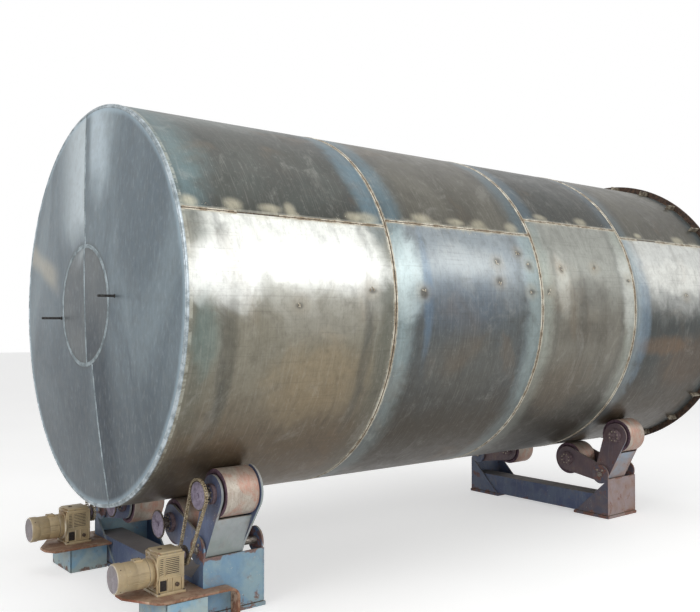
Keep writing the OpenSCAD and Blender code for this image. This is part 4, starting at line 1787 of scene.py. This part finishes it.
    def pin_ends(self, side: Side) -> None:
        """Holds the rocker pin with a keeper plate on both sides of the bracket.

        Args:
            side: Side of the tank.
        """
        keepers, bolts = Shape(), Track()
        y, z = STAND.pivot
        for face, way in ((self.x, -1), (self.x + STAND.bracket_l, 1)):
            keepers.turned((face, y, z), [
                (way * x, r) for x, r in ((0.01, 0.0), (0.01, 0.024), (0.0135, 0.022),
                                          (0.0145, 0.0))], 0, 32, 1)
            low, high = sorted((face, face + way * 0.006))
            keepers.block((low, y - 0.05, z + 0.0325), (high, y + 0.05, z + 0.0575), 0.002)
            for shift in (-0.034, 0.034):
                bolts.add(side.at(face + way * 0.006, y + shift, z + 0.045), (way, 0, 0),
                          (0, 0, 1))
        keepers.on(side).piece(f"{self.word}_pin_keepers_{side.word}", "stands", "pin_steel",
                               [self.cap, "shaft_steel"])
        data = self.stamps.spots(bolts, (0.0052, 0.0052, 0.0048), "bolt_zinc")
        settle(f"{self.word}_pin_bolts_{side.word}", data, "stands")

    def fillet(self, side: Side, ends: Sequence[Point], way: Point, material: str, seed: int,
               size: Point = (0.007, 0.0062, 0.0042)) -> Mesh:
        """Lays a row of weld ripples on a bracket.

        Args:
            side: Side of the tank.
            ends: Where it starts and ends, from the bracket's front outer corner.
            way: Way out of it.
            material: Name of its material.
            seed: Seed of what varies.
            size: Scale of a ripple.

        Returns:
            The mesh.
        """
        track = Track()
        for x, y, z in ends:
            track.add(side.at(self.x + x, STAND.face_y + y, z), side.at(*way))
        return self.stamps.row(track, 0.0095, size, material, seed + side.value)

    def bracket_parts(self, side: Side) -> None:
        """Adds corner studs, foot bolts and fillet welds to a bracket.

        Args:
            side: Side of the tank.
        """
        slot, foot, top = f"{self.word}_bracket_paint", STAND.foot_top, STAND.bracket_top
        posts = Shape()
        for x in (0.01, 0.515):
            posts.turned((self.x + x, STAND.face_y + 0.008, top), [
                (-0.002, 0.0), (-0.002, 0.0078), (0.042, 0.0078), (0.045, 0.0062),
                (0.045, 0.0)], 2, 20)
        posts.on(side).piece(f"{self.word}_corner_posts_{side.word}", "stands", slot, [slot])
        rows = [self.fillet(side, ((x, 0.01, foot), (x, 0.415, foot)), (way, 0, 1), "weld_core",
                            300) for x, way in ((-0.0015, -1), (0.5265, 1))]
        rows += [self.fillet(side, ((x, -0.001, 0.036), (x, -0.001, top - 0.004)), (0, -1, 0),
                             slot, 320, (0.007, 0.005, 0.0028)) for x in (0, STAND.bracket_l)]
        rows.append(self.fillet(side, ((0.006, -0.0008, foot), (0.519, -0.0008, foot)),
                                (0, -1, 1), "weld_core", 340))
        settle(f"{self.word}_bracket_beads_{side.word}", gathered("bracket_beads", rows),
               "stands")
        bolts = Track()
        for x, y in product((0.3, 0.465), (0.075, 0.385)):
            bolts.add(side.at(self.x + x, STAND.face_y + y, 0.03), (0, 0, 1))
        data = self.stamps.spots(bolts, (0.01, 0.01, 0.009), "bolt_dark",
                                 self.stamps.stud)
        settle(f"{self.word}_foot_bolts_{side.word}", data, "stands")


@dataclass
class Drive:
    """One chain drive: gearbox, motor, sprocket, chain and the shelf below."""

    stamps: Stamps
    side: Side
    stand_x: float
    top: float = 0.536
    motor_z: float = 0.382
    shelf_y: float = -1.1502
    link_r: float = 0.0082

    def make(self) -> None:
        """Makes the drive."""
        self.y, self.z = STAND.drive
        self.x0, self.x1 = TANK.front + 0.081, TANK.front + 0.284
        self.chain()
        self.sprocket()
        self.gearbox()
        self.motor()
        self.shelf()

    def chain(self) -> None:
        """Links the chain round both sprockets."""
        (by, bz), (sy, sz) = STAND.outer, STAND.drive
        turn = math.atan2(sz - bz, sy - by)
        lean = math.acos((STAND.pitch_r - STAND.small_r) / math.hypot(sy - by, sz - bz))
        track = Track(closed=True)
        for centre, r, start, span in (
                (STAND.outer, STAND.pitch_r, turn + lean, math.tau - 2 * lean),
                (STAND.drive, STAND.small_r, turn - lean, 2 * lean)):
            for i in range(41):
                a = start + span * i / 40
                track.add(self.side.at(self.stand_x + STAND.chain_x, *spun(centre, r, a)),
                          self.side.at(0.0, math.cos(a), math.sin(a)))
        last = len(track.points) - 1
        for i in range(1, 12):
            track.add(track.points[last].lerp(track.points[0], i / 12),
                      track.outs[last].lerp(track.outs[0], i / 12))
        count = 2 * round(track.length / 0.019 / 2)
        inner, outer, pins = self.links(track.length / count / 2)
        meshes = [self.stamps.walk.bake(track.mesh(True), Count=count, Every=2, Phase=phase,
                                        Stamp=stamp, Seed=1, Material=paint(material))
                  for stamp, material, phase in ((inner, "chain_link", 0),
                                                 (outer, "chain_link", 1),
                                                 (pins, "chain_pin", 1))]
        name = f"chain_{self.side.word}"
        settle(f"{name}_links", gathered(name, meshes), "stands",
               replaces=(name,))

    def link(self, half: float, low: float, high: float) -> Shape:
        """Draws both plates of a link.

        Args:
            half: Half the distance from pin to pin.
            low: Where a plate starts, from the chain's middle.
            high: Where it ends.

        Returns:
            The shape.
        """
        outline = []
        for sign in (1, -1):
            for a in (math.radians(-75 + 25 * i) for i in range(7)):
                outline.append((sign * self.link_r * math.sin(a),
                                sign * (half + self.link_r * math.cos(a))))
            outline.append((sign * 0.0064, 0.0))
        shape = Shape()
        for sign in (-1, 1):
            shape.prism(outline, sign * low, sign * high, 1)
        return shape

    def links(self, half: float) -> tuple[Piece, ...]:
        """Draws the stamps of a chain.

        Args:
            half: Half the distance from pin to pin.

        Returns:
            Inner link, outer link and pins.
        """
        inner, outer = self.link(half, 0.0069, 0.0089), self.link(half, 0.0091, 0.0111)
        pins = Shape()
        for x, (shape, reach, r) in product((-half, half), ((inner, 0.0068, 0.0058),
                                                            (pins, 0.0126, 0.0032))):
            shape.turned((x, 0, 0), [(-reach, 0), (-reach, r * 0.8), (-reach + r * 0.2, r),
                                     (reach - r * 0.2, r), (reach, r * 0.8), (reach, 0)], 1, 12)
        return tuple(self.stamps.keep(f"{label}_{self.side.word}", shape) for label, shape in (
            ("inner_link", inner), ("outer_link", outer), ("pins", pins)))

    def sprocket(self) -> None:
        """Turns the small sprocket on the gearbox's shaft."""
        plane = self.stand_x + STAND.chain_x
        back = self.x1 - plane - 0.022
        shape = Shape().prism(teeth(STAND.drive, 25, 0.0615, 0.0672), plane - 0.0055,
                              plane + 0.0055, material=1)
        shape.turned((plane, self.y, self.z), [
            (back, 0.0), (back, 0.02), (-0.02, 0.02), (-0.019, 0.036), (0.012, 0.038),
            (0.014, 0.036), (0.014, 0.02), (0.02, 0.018), (0.02, 0.0)], 0, 36)
        name = f"gearbox_sprocket_{self.side.word}"
        shape.on(self.side).piece(f"{name}_wheel", name, "sprocket_steel",
                                  ["sprocket_face", "sprocket_teeth"], (name,))

    def box(self, shape: Shape, x: Pair, y: Pair, z: Pair, edge: float,
            material: int = 0) -> None:
        """Adds a block to the gearbox.

        Args:
            shape: The gearbox.
            x: Its ends, from the gearbox's front face.
            y: Its sides, from the gearbox's middle.
            z: Its underside and top.
            edge: Rounding of its edges.
            material: Number of the material.
        """
        low, high = sorted((self.y + y[0], self.y + y[1]))
        shape.block((self.x0 + x[0], low, z[0]), (self.x0 + x[1], high, z[1]), edge, material)

    def gearbox(self) -> None:
        """Casts the gearbox with its lid, ribs, feet and covers."""
        y, x0, x1, top = self.y, self.x0, self.x1, self.top
        shape = Shape()
        for x, half, z, edge in (
                ((0.002, 0.201), 0.096, (0.244, top - 0.03), 0.01),
                ((-0.006, 0.209), 0.106, (top - 0.034, top - 0.018), 0.004),
                ((0.004, 0.199), 0.094, (top - 0.02, top), 0.01),
                ((-0.012, 0.215), 0.115, (0.2262, 0.246), 0.004),
                ((-0.006, 0.209), 0.104, (0.342, 0.353), 0.004)):
            self.box(shape, x, (-half, half), z, edge)
        for along, sign in product((0.008, 0.081, 0.122, 0.192), (-1, 1)):
            self.box(shape, (along - 0.005, along + 0.005), (sign * 0.092, sign * 0.104),
                     (0.244, 0.344), 0.003)
        for across, x in product((-0.088, 0.088), ((-0.008, 0.01), (0.193, 0.211))):
            self.box(shape, x, (across - 0.006, across + 0.006), (0.244, top - 0.03), 0.003)
        hole = 0.0205
        shape.turned((x1, y, self.z), [
            (-0.006, hole), (-0.006, 0.072), (0.006, 0.072), (0.01, 0.066), (0.012, 0.06),
            (0.012, hole), (-0.006, hole)])
        shape.turned((x0, y, self.motor_z), [
            (-0.018, 0.0), (-0.018, 0.114), (-0.015, 0.118), (-0.005, 0.118), (0.004, 0.098),
            (0.008, 0.0)], 0, 56)
        for sign in (-1, 1):
            self.grilles(shape, sign)
            # The panel below the grilles is near-black painted shade.
            self.box(shape, (0.018, 0.07), (sign * 0.095, sign * 0.0972), (0.256, 0.332),
                     0.001, 1)
            shape.turned((x0 + 0.152, y, 0.29), [
                (sign * 0.094, 0.0), (sign * 0.094, 0.017), (sign * 0.106, 0.017),
                (sign * 0.108, 0.012), (sign * 0.108, 0.0)], 1, 6, 2)
        shape.turned((x0 + 0.06, y, top), [(-0.004, 0.0), (-0.004, 0.016), (0.004, 0.016),
                                            (0.006, 0.01), (0.006, 0.0)], 2, 16, 2)
        name = f"gearbox_{self.side.word}"
        shape.on(self.side).piece(f"{name}_case", "stands", "gearbox_paint",
                                  ["gearbox_paint", "dark_gap", "bolt_dark"], (name,))
        self.gearbox_bolts(name)

    def gearbox_bolts(self, name: str) -> None:
        """Bolts the gearbox's covers, lid and feet.

        Args:
            name: Name of the gearbox.
        """
        at, y, x0 = self.side.at, self.y, self.x0
        bolts, lids = Track(), Track()
        for turn in angles(6, 30):
            bolts.add(at(self.x1 + 0.006, *spun((y, self.z), 0.065, turn)), (1, 0, 0), (0, 0, 1))
        for turn in angles(8, 22.5):
            lids.add(at(x0 - 0.005, *spun((y, self.motor_z), 0.108, turn)), (1, 0, 0), (0, 0, 1))
        for along, across in product((0.006, 0.07, 0.134, 0.197), (-0.1, 0.1)):
            lids.add(at(x0 + along, y + across, self.top - 0.018), (0, 0, 1))
        for along, across in product((0.004, 0.199), (-0.11, 0.11)):
            bolts.add(at(x0 + along, y + across, 0.246), (0, 0, 1))
        rows = [self.stamps.spots(bolts, (0.0042, 0.0042, 0.004), "bolt_dark"),
                self.stamps.spots(lids, (0.003, 0.003, 0.0032), "bolt_zinc")]
        settle(f"{name}_bolts", gathered("gearbox_bolts", rows), "stands")

    def grilles(self, shape: Shape, sign: int) -> None:
        """Sets a narrow and a wide grille with slats on one side of the gearbox.

        Args:
            shape: The gearbox.
            sign: Side of the gearbox, -1 or 1 along Y.
        """
        front = (sign * 0.0965, sign * 0.102)
        for left, right in ((0.013, 0.044), (0.06, 0.17)):
            # A near-black backing behind the slats is painted shade.
            self.box(shape, (left, right), (sign * 0.0955, sign * 0.0975), (0.366, 0.486),
                     0.0005, 1)
            for z in (0.3675 + 0.0134 * i for i in range(9)):
                self.box(shape, (left, right), front, (z, z + 0.0076), 0.001)
            for x in (left - 0.003, right - 0.002):
                self.box(shape, (x, x + 0.005), front, (0.363, 0.489), 0.001)

    def motor(self) -> None:
        """Makes the finned motor with its cowl, grille and terminal box."""
        y, z, x0 = self.y, self.motor_z, TANK.front - 0.219
        shape = Shape().turned((x0, y, z), [
            (0.05, 0.0), (0.05, 0.0985), (0.0665, 0.1), (0.069, 0.1022), (0.15, 0.1026),
            (0.152, 0.1012), (0.156, 0.1012), (0.158, 0.1026), (0.238, 0.1022),
            (0.2405, 0.1), (0.2405, 0.0)], 0, 72)
        for sign, up in product((-1, 1), (-0.03, -0.01, 0.01, 0.03)):
            low, high = sorted((y + sign * 0.094, y + sign * 0.1036))
            shape.block((x0 + 0.078, low, z + up - 0.003), (x0 + 0.232, high, z + up + 0.003),
                        0.002)
        shape.turned((x0, y, z), [
            (0.24, 0.0), (0.24, 0.094), (0.244, 0.1025), (0.262, 0.1025), (0.268, 0.098),
            (0.281, 0.096), (0.2815, 0.0)], 0, 56)
        shape.turned((x0, y, z), [
            (0.004, 0.0), (0.004, 0.088), (0, 0.092), (0, 0.097), (0.004, 0.103),
            (0.012, 0.107), (0.058, 0.107), (0.066, 0.104), (0.066, 0.099), (0.052, 0.096),
            (0.052, 0.0)], 0, 56, faces=[3, 3, 3, *[0] * 7])
        for r in (0.026, 0.038, 0.05, 0.062, 0.074):
            shape.turned((x0, y, z), [
                (0.0015, r - 0.0042), (0.0015, r + 0.0042), (0.0045, r + 0.0042),
                (0.0045, r - 0.0042), (0.0015, r - 0.0042)], 0, 48, 3)
        for turn in angles(8):
            bar = Shape().block((x0 + 0.0012, -0.002, 0.018), (x0 + 0.0044, 0.002, 0.09),
                                0.0006, 3)
            shape.join(bar, Matrix.Translation((0, y, z)) @ Matrix.Rotation(turn, 4, "X"))
        shape.turned((x0, y, z), [(0.0012, 0.0), (0.0012, 0.018), (0.004, 0.02), (0.006, 0.0)],
                     0, 24, 3)
        box_x, box_z = x0 + 0.15, z + 0.092
        shape.block((box_x, y - 0.034, box_z), (box_x + 0.066, y + 0.034, box_z + 0.02), 0.004)
        name = f"motor_{self.side.word}"
        shape.on(self.side).piece(f"{name}_body", "stands", "motor_paint", [
            "motor_paint", "bolt_dark", "dark_gap", "motor_end_paint"], (name,))
        screws = Track()
        for along, across in product((0.008, 0.058), (-0.026, 0.026)):
            screws.add(self.side.at(box_x + along, y + across, box_z + 0.02), (0, 0, 1))
        for turn in angles(4, 45):
            screws.add(self.side.at(x0 + 0.03, *spun((y, z), 0.107, turn)),
                       self.side.at(0, math.cos(turn), math.sin(turn)))
        data = self.stamps.spots(screws, 0.0045, "bolt_dark", self.stamps.screw)
        settle(f"{name}_screws", data, "stands")

    def shelf(self) -> None:
        """Folds the shelf below the motor, with its panels and its bent tongue."""
        f, edge, word = TANK.front, self.shelf_y, self.side.word
        x0, x1 = f - 0.134, f + 0.43
        plate = [(x0, edge + 0.4), (x0, edge + 0.29), (x0 + 0.15, edge + 0.03),
                 (f + 0.076, edge), (x1, edge), (x1, edge + 0.5), (x0 + 0.06, edge + 0.5)]
        shape = Shape().prism(plate, 0.206, 0.226, 2, 0.005)
        bend = (0.141, f + 0.59)
        turns = [math.radians(9 * i) for i in range(11)]
        shape.prism([(0.226, x1 - 0.004), *(spun(bend, 0.085, a) for a in turns),
                     (0.0, bend[1] + 0.085), (0.0, bend[1] + 0.065),
                     *(spun(bend, 0.065, a) for a in reversed(turns)), (0.206, x1 - 0.004)],
                    edge, -1.0432, 1, 0.003)
        for (low_x, low_y), (high_x, high_y) in (((0.076, 0.008), (0.406, 0.018)),
                                                 ((0.076, 0.442), (0.406, 0.452)),
                                                 ((0.076, 0.008), (0.086, 0.452))):
            shape.block((f + low_x, edge + low_y, 0.0), (f + high_x, edge + high_y, 0.206),
                        0.002, 1)
        shape.on(self.side).piece(f"motor_shelf_{word}", "stands", "shelf_paint",
                                  ["shelf_paint", "shelf_panel_paint"],
                                  ("motor_shelves",) if self.side is Side.NEAR else ())
        track = Track()
        for x in (0.08, 0.402):
            track.add(self.side.at(f + x, edge + 0.0068, 0.2045), self.side.at(0, -1, -1))
        bead = self.stamps.row(track, 0.011, (0.008, 0.006, 0.004), "weld_core", 400)
        settle(f"motor_shelf_bead_{word}", bead, "stands")


@dataclass
class Stands:
    """Both stands with the parts that they share."""

    stamps: Stamps
    drive_x: float = 0.43
    idler_x: float = 5.51

    def make(self) -> None:
        """Makes the stands and drives."""
        drive_x = TANK.front + self.drive_x
        Stand(self.stamps, "drive", drive_x).make()
        Stand(self.stamps, "idler", TANK.front + self.idler_x).make()
        for side in Side:
            Drive(self.stamps, side, drive_x).make()
        dress("bearing_housings", paint("bearing_cap"))
        soften("bearing_housings", 0.002)
        dress("rocker_pins", paint("shaft_steel"))


@dataclass
class Studio:
    """Floor, light and camera."""

    floor_r: float = 60.0
    lens: float = 42.987
    camera_at: Point = (-6.0363, -6.5536, 2.1799)
    camera_turn: Point = (0.8958, 0.0212, -0.0007)  # yaw, pitch and roll in radians

    def make(self) -> None:
        """Sets everything up."""
        self.floor()
        self.world()
        self.lamp("side_light", (4.0, -12.0, 7.5), (0.6, 0.0, 1.9), (16.0, 3.0), 520)
        self.lamp("top_light", (-1.0, -1.5, 11.5), (0.0, 0.0, 2.0), (12.0, 8.0), 420)
        self.lamp("end_light", (-12.0, -3.0, 6.0), (-3.4, 0.0, 2.2), (6.0, 4.0), 320)
        self.lamp("low_light", (-6.0, -9.0, 1.2), (0.5, -1.0, 0.9), (7.0, 1.6), 130)
        self.camera()
        bpy.context.scene.view_settings.view_transform = "Standard"

    def floor(self) -> None:
        """Lays a pale round floor, which keeps the object's shadow."""
        data = Shape().turned((0, 0, 0), [(-0.012, 0.0), (-0.012, self.floor_r), (
            -0.002, self.floor_r), (-0.002, 0.0)], 2, 96).data("studio_floor")
        g = Graph("floor_pale")
        shade = g.mix(g.step(g.noise(0.7, 2), 0.3, 0.7), (0.66, 0.66, 0.655), (0.69, 0.69, 0.685))
        g.feed(g.shader.inputs["Emission Color"], (1.0, 1.0, 1.0))
        g.feed(g.shader.inputs["Emission Strength"], g.seen() * 0.5)
        data.materials.append(g.finish(shade, 0.9, 0.0))
        placed("studio_floor", data)

    def world(self) -> None:
        """Makes the world white where it is seen or mirrored, and dimmer as a light."""
        world = bpy.data.worlds.new("pale_room")
        bpy.context.scene.world = world
        world.use_nodes = True
        world.node_tree.nodes.clear()
        tree = Tree(world.node_tree)
        sky = tree.get("ShaderNodeBackground",
                       {"Color": (1.0, 1.0, 1.0), "Strength": tree.seen() * 0.6 + 0.4})
        tree.node("ShaderNodeOutputWorld", {0: sky})

    def lamp(self, name: str, place: Point, target: Point, size: Pair, power: float) -> None:
        """Hangs a soft rectangular lamp.

        Args:
            name: Its name.
            place: Where it hangs.
            target: What it looks at.
            size: Its width and height.
            power: Its power in watts.
        """
        data = bpy.data.lights.new(name, "AREA")
        data.shape = "RECTANGLE"
        data.size, data.size_y = size
        data.energy = power
        lamp = placed(name, data)
        lamp.location = place
        way = Vector(target) - Vector(place)
        lamp.rotation_euler = way.to_track_quat("-Z", "Y").to_euler()

    def camera(self) -> None:
        """Sets the camera at the photo's angle."""
        data = bpy.data.cameras.new("camera")
        data.sensor_width = 36.0
        data.lens = self.lens
        data.clip_start, data.clip_end = 0.1, 300.0
        yaw, pitch, roll = self.camera_turn
        forward = Vector((math.cos(yaw) * math.cos(pitch), math.sin(yaw) * math.cos(pitch),
                          math.sin(pitch)))
        right = Vector((math.sin(yaw), -math.cos(yaw), 0.0))
        spin = Matrix.Rotation(roll, 3, forward)
        columns = (spin @ right, spin @ right.cross(forward), -forward)
        camera = placed("camera", data)
        camera.matrix_world = (Matrix.Translation(self.camera_at)
                               @ Matrix(columns).transposed().to_4x4())
        bpy.context.scene.camera = camera


def main() -> None:
    """Dresses the tank and its stands."""
    logging.basicConfig(level=logging.INFO, format="%(message)s")
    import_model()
    stamps = Stamps()
    Tank(stamps).make()
    Stands(stamps).make()
    stamps.clear()
    Studio().make()


if __name__ == "__main__":
    main()
